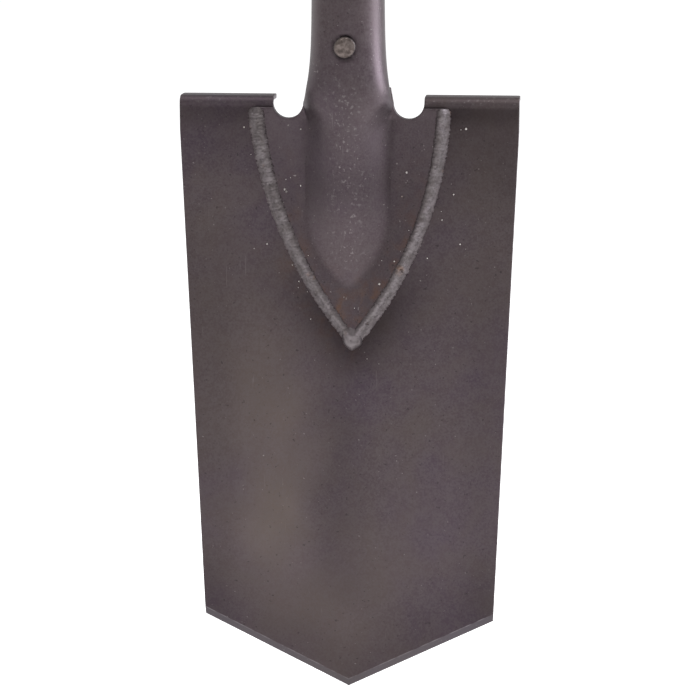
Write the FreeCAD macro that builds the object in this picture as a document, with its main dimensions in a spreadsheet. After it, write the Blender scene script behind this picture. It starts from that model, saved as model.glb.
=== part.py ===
import FreeCAD, Part
import math
import os

import Sketcher

# Detecting shovel, millimetres. +Z runs up the shaft from the tip, +X is to the
# right and -Y is the front face, the one the socket tongue is welded to.
# Every piece is drawn in the blade's own plane (y = 0 is the middle of the
# blade sheet, z = 0 the tip) and then moved along Y by plane_y.

SIZES = (
    ("plane_y", 2.35, "blade mid-plane, from the middle of the whole tool"),
    ("blade_half", 75.0, "half width of the blade under the treads"),
    ("blade_top", 271.3, "outer face of the treads above the tip"),
    ("blade_sheet", 2.2, "blade sheet"),
    ("corner_half", 66.1, "half width where the point starts"),
    ("corner_z", 32.9, "height where the point starts"),
    ("side_break", 256.5, "height where the sides turn vertical"),
    ("bend_radius", 4.0, "outside radius of the folded treads"),
    ("tread_back", 11.5, "rear edge of the treads behind the mid-plane"),
    ("tread_corner", 2.0, "rounding of the treads' outer ends"),
    ("bevel_width", 3.2, "ground cutting edge, width on the front"),
    ("bevel_depth", 1.5, "ground cutting edge, depth into the sheet"),
    ("notch_x", 26.6, "half-round notch centre from the centre line"),
    ("notch_z", 268.5, "half-round notch centre above the tip"),
    ("notch_radius", 6.7, "half-round notch radius"),
    ("neck_half", 18.6, "half width of the neck where it meets the tube"),
    ("neck_top", 275.4, "top edge of the blade's neck"),
    ("socket_axis", 2.35, "shaft axis in front of the mid-plane"),
    ("socket_radius", 15.85, "outside radius of the socket tube"),
    ("socket_sheet", 2.1, "socket sheet"),
    ("socket_open", 276.0, "lower end of the tube's front half"),
    ("socket_slope", 281.0, "height where the cut edges turn towards the back"),
    ("socket_round", 289.5, "lowest point where the tube is closed behind"),
    ("socket_top", 352.0, "mouth of the socket"),
    ("ridge_half", 18.9, "half width of the ridge on the blade"),
    ("ridge_low", 222.0, "height where the nose starts to close"),
    ("ridge_height", 9.0, "ridge height at the nose, over the tongue"),
    ("nose_z", 186.5, "end of the nose"),
    ("tongue_top", 266.5, "top edge of the tongue's shoulders"),
    ("tongue_left", 41.0, "weld line from the centre, left shoulder"),
    ("tongue_right", 42.0, "weld line from the centre, right shoulder"),
    ("tongue_mid_z", 212.0, "height of the middle of the weld line"),
    ("tongue_mid_left", 27.9, "weld line from the centre, left middle"),
    ("tongue_mid_right", 31.4, "weld line from the centre, right middle"),
    ("tongue_tip_x", 2.0, "tongue tip, right of centre as hand-fitted"),
    ("tongue_tip_z", 162.0, "tongue tip above the blade tip"),
    ("bead_half", 2.8, "weld bead half width"),
    ("bead_height", 3.7, "weld bead height over the blade"),
    ("rivet_z", 294.1, "rivet axis above the tip"),
    ("rivet_radius", 3.0, "rivet shank radius"),
    ("rivet_head", 4.75, "rivet head radius"),
    ("rivet_rise", 2.4, "rivet head over the socket"),
    ("seat_depth", 0.6, "flat hammered under the rivet head"),
    ("washer_radius", 6.2, "saddle washer radius"),
    ("washer_rise", 1.4, "saddle washer over the socket's back"),
    ("bush_radius", 5.0, "spacer bush outside radius"),
    ("shaft_radius", 13.45, "shaft tube outside radius"),
    ("shaft_wall", 2.0, "shaft tube wall"),
    ("shaft_foot", 280.0, "lower end of the shaft tube"),
    ("bar_z", 880.5, "cross-handle axis above the tip"),
    ("bar_radius", 15.0, "cross-handle tube outside radius"),
    ("bar_half", 70.0, "cross-handle tube half length"),
    ("grip_radius", 18.3, "hand grip outside radius"),
    ("grip_flange", 19.5, "hand grip end flange radius"),
    ("grip_start", 18.0, "inner end of each hand grip"),
    ("grip_grooves", 7, "grooves around each hand grip"),
    ("sleeve_foot", 560.0, "lower end of the shaft sleeve"),
    ("sleeve_length", 130.0, "length of the shaft sleeve"),
    ("sleeve_radius", 16.7, "shaft sleeve outside radius"),
    ("sleeve_grooves", 15, "grooves around the shaft sleeve"),
    ("fit_gap", 0.05, "gap left between pressed and pushed-on faces"),
)

doc = FreeCAD.newDocument("DetectingShovel")
sheet = doc.addObject("Spreadsheet::Sheet", "Sizes")
for row, (alias, value, note) in enumerate(SIZES, 1):
    sheet.set("A%d" % row, alias)
    sheet.set("B%d" % row, str(value))
    sheet.set("C%d" % row, note)
    sheet.setAlias("B%d" % row, alias)
doc.recompute()

ORIGIN = (-1, 1)
parts = []


def size(alias):
    """Return one driving size as a number."""
    return float(getattr(sheet, alias))


def vec(x, y, z):
    """A point or direction."""
    return FreeCAD.Vector(x, y, z)


# ---------------------------------------------------------------- helpers


def keep(obj, label):
    """Name a finished piece and stand it in the tool's frame."""
    obj.Label = label
    obj.setExpression("Placement.Base.y", "Sizes.plane_y")
    parts.append(obj)
    return obj


def new_body(label):
    """Add a body that becomes one piece."""
    return keep(doc.addObject("PartDesign::Body", label), label)


def new_sketch(body, name, role, offset=None):
    """Add a sketch on one of the body's own origin planes."""
    sketch = body.newObject("Sketcher::SketchObject", name)
    plane = [f for f in body.Origin.OriginFeatures if f.Role == role][0]
    sketch.AttachmentSupport = (plane, [""])
    sketch.MapMode = "FlatFace"
    if offset:
        sketch.setExpression("AttachmentOffset.Base.z", offset)
    return sketch


def pin_point(sketch, geo, pos, across, up):
    """Tie one point of a sketch to two size expressions."""
    for kind, text in (("DistanceX", across), ("DistanceY", up)):
        item = sketch.addConstraint(Sketcher.Constraint(kind, *ORIGIN, geo, pos, 1.0))
        sketch.setExpression("Constraints[%d]" % item, text)


def number(text):
    """Evaluate a size expression for a starting position."""
    return float(sheet.evalExpression(text.replace("Sizes.", "")))


def polygon(sketch, points):
    """Draw a closed outline whose corners are all size expressions."""
    first = sketch.GeometryCount
    spots = [vec(number(a), number(b), 0) for a, b in points]
    count = len(spots)
    for i in range(count):
        sketch.addGeometry(Part.LineSegment(spots[i], spots[(i + 1) % count]))
    for i in range(count):
        after = first + (i + 1) % count
        sketch.addConstraint(Sketcher.Constraint("Coincident", first + i, 2, after, 1))
    for i, (across, up) in enumerate(points):
        pin_point(sketch, first + i, 1, across, up)


def circle(sketch, across, up, radius):
    """Draw a circle placed and sized by size expressions."""
    centre = vec(number(across), number(up), 0)
    geo = sketch.addGeometry(Part.Circle(centre, vec(0, 0, 1), number(radius)))
    pin_point(sketch, geo, 3, across, up)
    item = sketch.addConstraint(Sketcher.Constraint("Radius", geo, number(radius)))
    sketch.setExpression("Constraints[%d]" % item, radius)


def turn_about(body, kind, sketch, start, finish):
    """Turn a profile about a line that is drawn in its own sketch."""
    spots = [vec(number(a), number(b), 0) for a, b in (start, finish)]
    geo = sketch.addGeometry(Part.LineSegment(*spots), True)
    pin_point(sketch, geo, 1, *start)
    pin_point(sketch, geo, 2, *finish)
    doc.recompute()
    feature = body.newObject("PartDesign::" + kind, sketch.Name + kind)
    feature.Profile = sketch
    feature.ReferenceAxis = (sketch, ["Axis0"])
    feature.Angle = 360
    doc.recompute()
    return feature


def pad(body, sketch, length, middle=False):
    """Extrude a sketch, upwards or to both sides of its plane."""
    feature = body.newObject("PartDesign::Pad", sketch.Name + "Pad")
    feature.Profile = sketch
    feature.setExpression("Length", length)
    if middle:
        feature.SideType = "Symmetric"
    doc.recompute()
    return feature


def pocket(body, sketch):
    """Cut a sketch right through the body on both sides of its plane."""
    before = body.Shape.Volume
    feature = body.newObject("PartDesign::Pocket", sketch.Name + "Cut")
    feature.Profile = sketch
    feature.Type = 1
    feature.SideType = "Symmetric"
    doc.recompute()
    if body.Shape.Volume > before - 0.01:
        raise RuntimeError("%s removed nothing" % feature.Name)
    return feature


def row_of(body, feature, sketch, axis, length, count):
    """Repeat one cut along a sketch axis."""
    pattern = body.newObject("PartDesign::LinearPattern", feature.Name + "Row")
    pattern.Originals = [feature]
    pattern.Direction = (sketch, [axis])
    pattern.setExpression("Length", length)
    pattern.setExpression("Occurrences", count)
    body.Tip = pattern
    doc.recompute()
    return pattern


def edges_where(body, test):
    """Name the latest feature's edges whose end points all pass a test."""
    found = []
    for index, edge in enumerate(body.Tip.Shape.Edges, 1):
        if len(edge.Vertexes) == 2 and all(test(v.Point) for v in edge.Vertexes):
            found.append("Edge%d" % index)
    if not found:
        raise RuntimeError("no such edge on %s" % body.Label)
    return found


def near(a, b, tol=0.02):
    """Tell whether two lengths agree."""
    return abs(a - b) < tol


def dress(body, kind, names, **sizes):
    """Fillet or chamfer named edges of the body's latest feature."""
    base = body.Tip
    feature = body.newObject("PartDesign::" + kind, base.Name + kind)
    feature.Base = (base, names)
    for prop, text in sizes.items():
        if prop.startswith("Size") or prop == "Radius":
            feature.setExpression(prop, text)
        else:
            setattr(feature, prop, text)
    doc.recompute()
    if feature.Shape.isNull():
        raise RuntimeError("%s failed" % feature.Name)
    return feature


def free_form(label, shape):
    """Keep a shape that is built from surfaces instead of features."""
    obj = doc.addObject("Part::Feature", label)
    obj.Shape = shape
    return keep(obj, label)


def in_blade_plane(body):
    """Return a finished body's shape in the frame it was drawn in."""
    shape = body.Shape.copy()
    shape.Placement = FreeCAD.Placement()
    return shape


# ------------------------------------------------------------------ blade


def build_blade():
    """Fold the sheet, cut its outline and notches, and grind the point."""
    body = new_body("blade")
    side = new_sketch(body, "BladeSide", "YZ_Plane")
    front, rear = "-Sizes.blade_sheet / 2", "Sizes.blade_sheet / 2"
    under = "Sizes.blade_top - Sizes.blade_sheet"
    polygon(side, (
        (front, "0"), (rear, "0"), (rear, under), ("Sizes.tread_back", under),
        ("Sizes.tread_back", "Sizes.blade_top"), (front, "Sizes.blade_top"),
    ))
    pad(body, side, "2 * Sizes.blade_half", middle=True)

    half, top = size("blade_sheet") / 2, size("blade_top")
    outer = edges_where(body, lambda p: near(p.y, -half) and near(p.z, top))
    dress(body, "Fillet", outer, Radius="Sizes.bend_radius")
    inner = edges_where(
        body, lambda p: near(p.y, half) and near(p.z, top - 2 * half)
    )
    dress(body, "Fillet", inner, Radius="Sizes.bend_radius - Sizes.blade_sheet")

    outline = new_sketch(body, "BladeOutline", "XZ_Plane")
    edge, high = "Sizes.blade_half", "Sizes.blade_top + 20"
    polygon(outline, (
        ("-2 * " + edge, "-50"), ("2 * " + edge, "-50"),
        ("2 * " + edge, "2 * " + high), ("-2 * " + edge, "2 * " + high),
    ))
    polygon(outline, (
        ("0", "0"), ("Sizes.corner_half", "Sizes.corner_z"),
        (edge, "Sizes.side_break"), (edge, high),
        ("-" + edge, high), ("-" + edge, "Sizes.side_break"),
        ("-Sizes.corner_half", "Sizes.corner_z"),
    ))
    pocket(body, outline)

    gap = new_sketch(body, "TreadGap", "XZ_Plane")
    wall = "Sizes.notch_x + Sizes.notch_radius"
    low = "Sizes.notch_z - Sizes.notch_radius / 2"
    polygon(gap, (
        ("-(%s)" % wall, low), (wall, low), (wall, high), ("-(%s)" % wall, high),
    ))
    pocket(body, gap)

    neck = new_sketch(body, "Neck", "XZ_Plane")
    root = "Sizes.notch_z - Sizes.notch_radius"
    waist = "Sizes.notch_x - Sizes.notch_radius"
    polygon(neck, (
        ("-Sizes.notch_x", root), ("Sizes.notch_x", root),
        (waist, "Sizes.notch_z"), ("Sizes.neck_half", "Sizes.neck_top"),
        ("-Sizes.neck_half", "Sizes.neck_top"), ("-(%s)" % waist, "Sizes.notch_z"),
    ))
    pad(body, neck, "Sizes.blade_sheet", middle=True)

    for name, sign in (("NotchLeft", "-"), ("NotchRight", "")):
        notch = new_sketch(body, name, "XZ_Plane")
        circle(notch, sign + "Sizes.notch_x", "Sizes.notch_z", "Sizes.notch_radius")
        pocket(body, notch)

    ends = edges_where(
        body, lambda p: near(abs(p.x), size("blade_half")) and near(p.z, top)
    )
    dress(body, "Fillet", ends, Radius="Sizes.tread_corner")

    corner = size("corner_z")
    point = edges_where(body, lambda p: near(p.y, -half) and p.z < corner + 0.02)
    dress(
        body, "Chamfer", point, ChamferType=1,
        Size="Sizes.bevel_width", Size2="Sizes.bevel_depth",
    )
    return body


# ----------------------------------------------------------------- socket


def smooth(share):
    """Ease from 0 to 1 with level ends."""
    share = min(max(share, 0.0), 1.0)
    return share * share * (3 - 2 * share)


def ridge_at(z):
    """Half width and height of the ridge's outside over the tongue."""
    full = size("socket_axis") + size("socket_radius")
    full -= size("blade_sheet") / 2 + size("socket_sheet") - 0.1
    low, foot = size("ridge_low"), size("nose_z")
    rise = size("ridge_height")
    if z >= low:
        share = smooth((z - low) / (size("shaft_foot") - low))
        return size("ridge_half"), rise + (full - rise) * share
    share = 1 - (low - z) / (low - foot)
    close = math.sqrt(max(1 - (1 - share) ** 2, 0.0))
    return size("ridge_half") * close, rise * close ** 1.4


def arch_wire(z, half, height, inset, back, axis_half):
    """Outline of the ridge at one height: a round front and a back line.

    axis_half is the half width of the round front; the sides flare from it
    to half at the tongue. inset moves the whole outline inwards.
    """
    face = -size("blade_sheet") / 2 - size("socket_sheet")
    top = height - inset
    round_rise = min(axis_half, height * 0.8) - inset
    wide = axis_half - inset
    foot = max(half - inset, wide)
    spots = []
    steps = 6
    for i in range(steps):
        share = i / steps
        drop = (top - round_rise) * share
        spots.append(vec(foot - (foot - wide) * math.sin(share * math.pi / 2),
                         face - drop, z))
    for i in range(steps * 2 + 1):
        turn = math.pi * i / (steps * 2)
        spots.append(vec(wide * math.cos(turn),
                         face - (top - round_rise) - round_rise * math.sin(turn), z))
    spots += [vec(-p.x, p.y, z) for p in reversed(spots[:steps])]
    spots = [vec(foot, back, z)] + spots + [vec(-foot, back, z)]
    curve = Part.BSplineCurve()
    curve.interpolate(spots)
    closing = Part.makeLine(spots[-1], spots[0])
    return Part.Wire([curve.toShape(), closing])


def ridge_solid(inset, back):
    """Loft the ridge, or with an inset the hollow under it."""
    low, foot = size("ridge_low"), size("nose_z")
    levels = [size("socket_open") + 14, size("socket_open"), 262.0, 248.0, 235.0, low]
    levels += [low - (low - foot) * math.sin(a * math.pi / 16) for a in (2, 4, 5, 6, 7)]
    wires = []
    for z in levels:
        half, height = ridge_at(z)
        if height - inset < 1.2:
            break
        axis_half = min(size("socket_radius"), half * 0.84)
        if z > size("socket_open"):
            half, height = size("socket_radius") - 0.6, height - 0.6
            axis_half = half
        wires.append(arch_wire(z, half, height, inset, back, axis_half))
    return Part.makeLoft(wires, True, False)


def tube(radius, low, high):
    """A solid cylinder on the shaft's axis."""
    base = vec(0, -size("socket_axis"), low)
    return Part.makeCylinder(radius, high - low, base, vec(0, 0, 1))


def weld_line(side):
    """The arc along one edge of the tongue, in the XZ plane."""
    end = size("tongue_" + side) * (-1 if side == "left" else 1)
    middle = size("tongue_mid_" + side) * (-1 if side == "left" else 1)
    return Part.Arc(
        vec(end, 0, size("tongue_top")),
        vec(middle, 0, size("tongue_mid_z")),
        vec(size("tongue_tip_x"), 0, size("tongue_tip_z")),
    )


def tongue_plate():
    """The flat of the socket sheet: shoulders, wings and pointed tongue."""
    left, right = weld_line("left"), weld_line("right")
    top = size("tongue_top")
    waist = size("notch_x") - size("notch_radius")
    outline = [
        vec(-size("tongue_left"), 0, top),
        vec(-waist, 0, top),
        vec(-waist, 0, size("notch_z")),
        vec(-size("neck_half"), 0, size("socket_open")),
        vec(size("neck_half"), 0, size("socket_open")),
        vec(waist, 0, size("notch_z")),
        vec(waist, 0, top),
        vec(size("tongue_right"), 0, top),
    ]
    edges = [Part.makeLine(a, b) for a, b in zip(outline, outline[1:])]
    edges = [left.toShape()] + edges + [right.toShape()]
    face = Part.Face(Part.Wire(Part.__sortEdges__(edges)))
    plate = face.extrude(vec(0, -size("socket_sheet"), 0))
    plate.translate(vec(0, -size("blade_sheet") / 2, 0))
    return plate


def notch_tools():
    """The half-round notches as two upright slots."""
    tools = []
    radius = size("notch_radius")
    for side in (-1, 1):
        middle = vec(side * size("notch_x"), -40, size("notch_z"))
        tools.append(Part.makeCylinder(radius, 80, middle, vec(0, 1, 0)))
    return tools


def across(radius, near_y, far_y):
    """A cylinder along Y on the rivet's axis."""
    base = vec(0, near_y, size("rivet_z"))
    return Part.makeCylinder(radius, far_y - near_y, base, vec(0, 1, 0))


def mouth_tool():
    """What is open behind the tube below its seam: the cut edges slope back."""
    face, back = -size("blade_sheet") / 2, size("socket_radius") - size("socket_axis") + 0.1
    low, turn, high = size("socket_open") - 1, size("socket_slope"), size("socket_round")
    spots = [(face, low), (face, turn), (back, high), (60, high), (60, low), (face, low)]
    side = Part.makePolygon([vec(-40, y, z) for y, z in spots])
    return Part.Face(side).extrude(vec(80, 0, 0))


def build_socket():
    """Roll the tube, open it behind, spread it over the ridge and close the nose."""
    radius, wall = size("socket_radius"), size("socket_sheet")
    axis, opening = size("socket_axis"), size("socket_open")
    face = -size("blade_sheet") / 2
    top = size("socket_top")
    solid = ridge_solid(0.0, face)
    rolled = tube(radius, opening, top).cut(mouth_tool())
    solid = solid.fuse(tongue_plate()).fuse(rolled)
    for tool in notch_tools():
        solid = solid.cut(tool)
    solid = solid.cut(tube(radius - wall, opening - 0.5, top + 1))
    solid = solid.cut(ridge_solid(wall, face + 0.5))
    solid = solid.cut(across(size("rivet_radius") + 0.1, -axis - 40, -axis + 40))
    seat = -axis - radius + size("seat_depth")
    solid = solid.cut(across(size("rivet_head") + 0.5, seat - 10, seat))
    return free_form("socket", solid.Solids[0])


# ------------------------------------------------------------------ welds


def bead_along(path, start, tangent):
    """Sweep the bead's oval along a line on the blade."""
    half = size("bead_half")
    tall = size("bead_height")
    centre = vec(start.x, -size("blade_sheet") / 2 - 0.6, start.z)
    ring = Part.Ellipse(vec(0, 0, 0), tall - 0.6, half).toShape()
    profile = Part.Wire([ring])
    sideways = vec(0, -1, 0)
    turn = FreeCAD.Rotation(sideways, tangent.cross(sideways), tangent, "XYZ")
    profile.Placement = FreeCAD.Placement(centre, turn)
    spine = Part.Wire([path])
    spine.translate(vec(0, centre.y, 0))
    return spine.makePipeShell([profile], True, True)


def seated(solid, blade, socket):
    """Trim a bead to what stands in front of the blade, clear of the socket."""
    behind = Part.makeBox(200, 40, 400, vec(-100, -size("blade_sheet") / 2, 0))
    return solid.cut(behind).cut(blade).cut(socket)


def build_edge_weld(side, blade, socket):
    """One long fillet weld down the tongue's edge."""
    edge = weld_line(side).toShape()
    first, last = edge.ParameterRange
    path = edge.Curve.toShape(first, last + (first - last) * 0.045)
    point = path.valueAt(path.FirstParameter)
    tangent = path.tangentAt(path.FirstParameter)
    solid = bead_along(path, point, tangent)
    return free_form("weld_" + side, seated(solid, blade, socket))


def build_tip_weld(blade, socket, others):
    """The blob where the two runs meet."""
    ball = Part.makeSphere(1.0)
    grow = FreeCAD.Matrix()
    grow.scale(3.9, size("bead_height") - 0.3, 4.4)
    ball = ball.transformGeometry(grow)
    ball.translate(vec(
        size("tongue_tip_x"), -size("blade_sheet") / 2 - 0.4, size("tongue_tip_z") - 0.6
    ))
    solid = seated(ball, blade, socket)
    for other in others:
        solid = solid.cut(other)
    return free_form("weld_tip", solid)


def build_neck_weld(blade, socket):
    """Two short tacks in the tube's mouth, blade neck to socket wall."""
    tacks = []
    for side in (-1, 1):
        base = vec(side * 13.6, -0.2, size("neck_top") + 0.3)
        run = Part.makeCylinder(2.2, 4.4, base, vec(side, 0, 0))
        proud = Part.makeBox(20, 20, 20, base + vec(-10, size("blade_sheet") / 2 + 0.2, -20.3))
        tacks.append(run.cut(proud).cut(blade).cut(socket))
    return free_form("weld_neck", Part.makeCompound(tacks))


def build_seam_weld(socket):
    """Short tack welds that close the seam down the back of the socket."""
    back = -size("socket_axis") + size("socket_radius")
    low, high = size("rivet_z") + 14, size("socket_top") - 8
    tacks = []
    for i in range(3):
        z = low + (high - low) * i / 2
        run = Part.makeSphere(1.0)
        grow = FreeCAD.Matrix()
        grow.scale(2.4, 1.3, 5.5)
        run = run.transformGeometry(grow)
        run.translate(vec(0, back - 0.2, z))
        tacks.append(run.cut(socket).cut(tube(size("socket_radius") - 0.5, z - 9, z + 9)))
    return free_form("weld_seam", Part.makeCompound(tacks))


# --------------------------------------------------------- rivet and shaft


def build_rivet():
    """Turn the rivet: flattened front head, shank and formed rear head."""
    body = new_body("rivet")
    sketch = new_sketch(body, "RivetHalf", "XY_Plane", "Sizes.rivet_z")
    seat = "-Sizes.socket_axis - Sizes.socket_radius + Sizes.seat_depth"
    crown = "-Sizes.socket_axis - Sizes.socket_radius - Sizes.rivet_rise"
    rear = "-Sizes.socket_axis + Sizes.socket_radius + Sizes.washer_rise"
    polygon(sketch, (
        ("0", crown), ("Sizes.rivet_head * 0.62", crown),
        ("Sizes.rivet_head", crown + " + 1.1"), ("Sizes.rivet_head", seat),
        ("Sizes.rivet_radius", seat), ("Sizes.rivet_radius", rear),
        ("Sizes.rivet_head * 0.95", rear), ("Sizes.rivet_head * 0.95", rear + " + 0.9"),
        ("Sizes.rivet_head * 0.55", rear + " + 2.1"), ("0", rear + " + 2.1"),
    ))
    turn_about(body, "Revolution", sketch, ("0", "1"), ("0", "2"))
    return body


def build_washer():
    """A saddle washer: flat behind, hollowed to fit the tube."""
    body = new_body("rivet_washer")
    disc = new_sketch(body, "WasherDisc", "XZ_Plane")
    circle(disc, "0", "Sizes.rivet_z", "Sizes.washer_radius")
    circle(disc, "0", "Sizes.rivet_z", "Sizes.rivet_radius + 0.1")
    reach = "Sizes.socket_radius - Sizes.socket_axis + Sizes.washer_rise"
    pad(body, disc, "2 * (%s)" % reach, middle=True)
    hollow = new_sketch(body, "WasherHollow", "XY_Plane")
    circle(hollow, "0", "-Sizes.socket_axis", "Sizes.socket_radius + Sizes.fit_gap")
    pocket(body, hollow)
    return body


def build_bush():
    """The spacer that keeps the rivet from crushing the shaft tube."""
    body = new_body("spacer_bush")
    sketch = new_sketch(body, "BushRing", "XZ_Plane", "Sizes.socket_axis")
    circle(sketch, "0", "Sizes.rivet_z", "Sizes.bush_radius")
    circle(sketch, "0", "Sizes.rivet_z", "Sizes.rivet_radius + 0.15")
    pad(body, sketch, "2 * (Sizes.shaft_radius - Sizes.shaft_wall - 1.25)", middle=True)
    return body


def build_plug():
    """The push-in plug that shuts the shaft tube's lower end."""
    body = new_body("shaft_plug")
    bore = "Sizes.shaft_radius - Sizes.shaft_wall - Sizes.fit_gap"
    sketch = new_sketch(body, "PlugStem", "XY_Plane", "Sizes.shaft_foot - 2.5")
    circle(sketch, "0", "-Sizes.socket_axis", bore)
    pad(body, sketch, "9.5")
    head = new_sketch(body, "PlugHead", "XY_Plane", "Sizes.shaft_foot - 2.5")
    circle(head, "0", "-Sizes.socket_axis", "Sizes.shaft_radius - 0.4")
    pad(body, head, "2.5")
    return body


def build_shaft():
    """The long tube, holed for the rivet and coped to the cross-handle."""
    body = new_body("shaft_tube")
    ring = new_sketch(body, "ShaftRing", "XY_Plane", "Sizes.shaft_foot")
    circle(ring, "0", "-Sizes.socket_axis", "Sizes.shaft_radius")
    circle(ring, "0", "-Sizes.socket_axis", "Sizes.shaft_radius - Sizes.shaft_wall")
    pad(body, ring, "Sizes.bar_z - Sizes.shaft_foot")
    hole = new_sketch(body, "ShaftHole", "XZ_Plane")
    circle(hole, "0", "Sizes.rivet_z", "Sizes.rivet_radius + 0.15")
    pocket(body, hole)
    cope = new_sketch(body, "ShaftCope", "YZ_Plane")
    circle(cope, "-Sizes.socket_axis", "Sizes.bar_z", "Sizes.bar_radius + Sizes.fit_gap")
    pocket(body, cope)
    return body


def build_sleeve():
    """The ribbed sleeve for the lower hand."""
    body = new_body("shaft_sleeve")
    ring = new_sketch(body, "SleeveRing", "XY_Plane", "Sizes.sleeve_foot")
    circle(ring, "0", "-Sizes.socket_axis", "Sizes.sleeve_radius")
    circle(ring, "0", "-Sizes.socket_axis", "Sizes.shaft_radius + Sizes.fit_gap")
    pad(body, ring, "Sizes.sleeve_length")
    groove = new_sketch(body, "SleeveGroove", "YZ_Plane")
    axis, radius = "-Sizes.socket_axis", "Sizes.sleeve_radius"
    low = "Sizes.sleeve_foot + 8"
    polygon(groove, (
        (axis + " + " + radius + " - 1.2", low), (axis + " + " + radius + " + 1", low),
        (axis + " + " + radius + " + 1", low + " + 3.5"),
        (axis + " + " + radius + " - 1.2", low + " + 3.5"),
    ))
    cut = turn_about(body, "Groove", groove, (axis, "1"), (axis, "2"))
    row_of(body, cut, groove, "V_Axis", "Sizes.sleeve_length - 20", "Sizes.sleeve_grooves")
    return body


def build_crossbar():
    """The steel tube across the top of the shaft."""
    body = new_body("crossbar")
    ring = new_sketch(body, "BarRing", "YZ_Plane")
    circle(ring, "-Sizes.socket_axis", "Sizes.bar_z", "Sizes.bar_radius")
    circle(ring, "-Sizes.socket_axis", "Sizes.bar_z", "Sizes.bar_radius - Sizes.shaft_wall")
    pad(body, ring, "2 * Sizes.bar_half", middle=True)
    return body


def build_bar_weld():
    """The saddle-shaped fillet weld between shaft and cross-handle."""
    radius, bar, throat = size("shaft_radius"), size("bar_radius"), 2.8
    high, gap = size("bar_z"), size("fit_gap")
    base = vec(-60, -size("socket_axis"), high)
    ring = tube(radius + throat, high - 40, high)
    ring = ring.common(Part.makeCylinder(bar + throat, 120, base, vec(1, 0, 0)))
    ring = ring.cut(Part.makeCylinder(bar + gap, 120, base, vec(1, 0, 0)))
    return free_form("weld_crossbar", ring.cut(tube(radius + gap, high - 60, high + 10)))


def build_grip(side):
    """One ribbed hand grip, with a flange at its outer end."""
    sign = "-" if side == "left" else ""
    body = new_body("grip_" + side)
    ring = new_sketch(body, "Grip%sHalf" % side, "XZ_Plane", "Sizes.socket_axis")
    bore = "Sizes.bar_z + Sizes.bar_radius + Sizes.fit_gap"
    skin = "Sizes.bar_z + Sizes.grip_radius"
    rim = "Sizes.bar_z + Sizes.grip_flange"
    end = "Sizes.bar_half"
    polygon(ring, (
        (sign + "Sizes.grip_start", bore), (sign + end, bore), (sign + end, rim),
        (sign + "(%s - 3)" % end, rim), (sign + "(%s - 5)" % end, skin),
        (sign + "(Sizes.grip_start + 1.5)", skin),
        (sign + "Sizes.grip_start", skin + " - 1.5"),
    ))
    turn_about(body, "Revolution", ring, ("1", "Sizes.bar_z"), ("2", "Sizes.bar_z"))
    groove = new_sketch(body, "Grip%sGroove" % side, "XZ_Plane", "Sizes.socket_axis")
    start = sign + "(Sizes.grip_start + 4)"
    finish = sign + "(Sizes.grip_start + 7)"
    polygon(groove, (
        (start, skin + " - 1.1"), (finish, skin + " - 1.1"),
        (finish, skin + " + 1"), (start, skin + " + 1"),
    ))
    cut = turn_about(body, "Groove", groove, ("1", "Sizes.bar_z"), ("2", "Sizes.bar_z"))
    row = row_of(body, cut, groove, "H_Axis",
                 "Sizes.bar_half - Sizes.grip_start - 14", "Sizes.grip_grooves")
    row.Reversed = side == "left"
    doc.recompute()
    return body


def build_end_plug(side):
    """The cap pushed into one end of the cross-handle."""
    sign = "-" if side == "left" else ""
    body = new_body("end_plug_" + side)
    bore = "Sizes.bar_radius - Sizes.shaft_wall - Sizes.fit_gap"
    sketch = new_sketch(body, "Cap%s" % side, "XZ_Plane", "Sizes.socket_axis")
    end = "Sizes.bar_half"
    polygon(sketch, (
        (sign + "(%s - 10)" % end, "Sizes.bar_z"),
        (sign + "(%s - 10)" % end, "Sizes.bar_z + " + bore),
        (sign + end, "Sizes.bar_z + " + bore),
        (sign + end, "Sizes.bar_z + Sizes.grip_radius"),
        (sign + "(%s + 2)" % end, "Sizes.bar_z + Sizes.grip_radius"),
        (sign + "(%s + 4)" % end, "Sizes.bar_z + Sizes.grip_radius - 3"),
        (sign + "(%s + 4)" % end, "Sizes.bar_z"),
    ))
    turn_about(body, "Revolution", sketch, ("1", "Sizes.bar_z"), ("2", "Sizes.bar_z"))
    return body


# --------------------------------------------------------------- assemble

blade = build_blade()
socket = build_socket()
doc.recompute()
blade_shape = in_blade_plane(blade)
socket_shape = in_blade_plane(socket)
left = build_edge_weld("left", blade_shape, socket_shape)
right = build_edge_weld("right", blade_shape, socket_shape)
build_tip_weld(blade_shape, socket_shape, [in_blade_plane(left), in_blade_plane(right)])
build_neck_weld(blade_shape, socket_shape)
build_seam_weld(socket_shape)
build_rivet()
build_washer()
build_bush()
build_plug()
build_shaft()
build_sleeve()
build_crossbar()
build_bar_weld()
for hand in ("left", "right"):
    build_grip(hand)
    build_end_plug(hand)
doc.recompute()

for obj in doc.Objects:
    if "Invalid" in obj.State or "Error" in obj.State:
        raise RuntimeError("%s: %s" % (obj.Name, obj.State))

os.makedirs("parts", exist_ok=True)
for piece in parts:
    shape = piece.Shape
    if shape.isNull() or not shape.isValid() or shape.Volume <= 0:
        raise RuntimeError("%s has no valid shape" % piece.Label)
    box = shape.BoundBox
    print("%-16s %9.1f mm3 %d solid(s)  x %.1f..%.1f  y %.2f..%.2f  z %.1f..%.1f" % (
        piece.Label, shape.Volume, len(shape.Solids),
        box.XMin, box.XMax, box.YMin, box.YMax, box.ZMin, box.ZMax))
    shape.exportStep("parts/%s.step" % piece.Label)
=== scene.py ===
import logging
import math
import random
from collections.abc import Callable, Sequence
from dataclasses import dataclass, field
from enum import Enum

import bmesh
import bpy
import numpy as np
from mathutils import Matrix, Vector, geometry, noise


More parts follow.
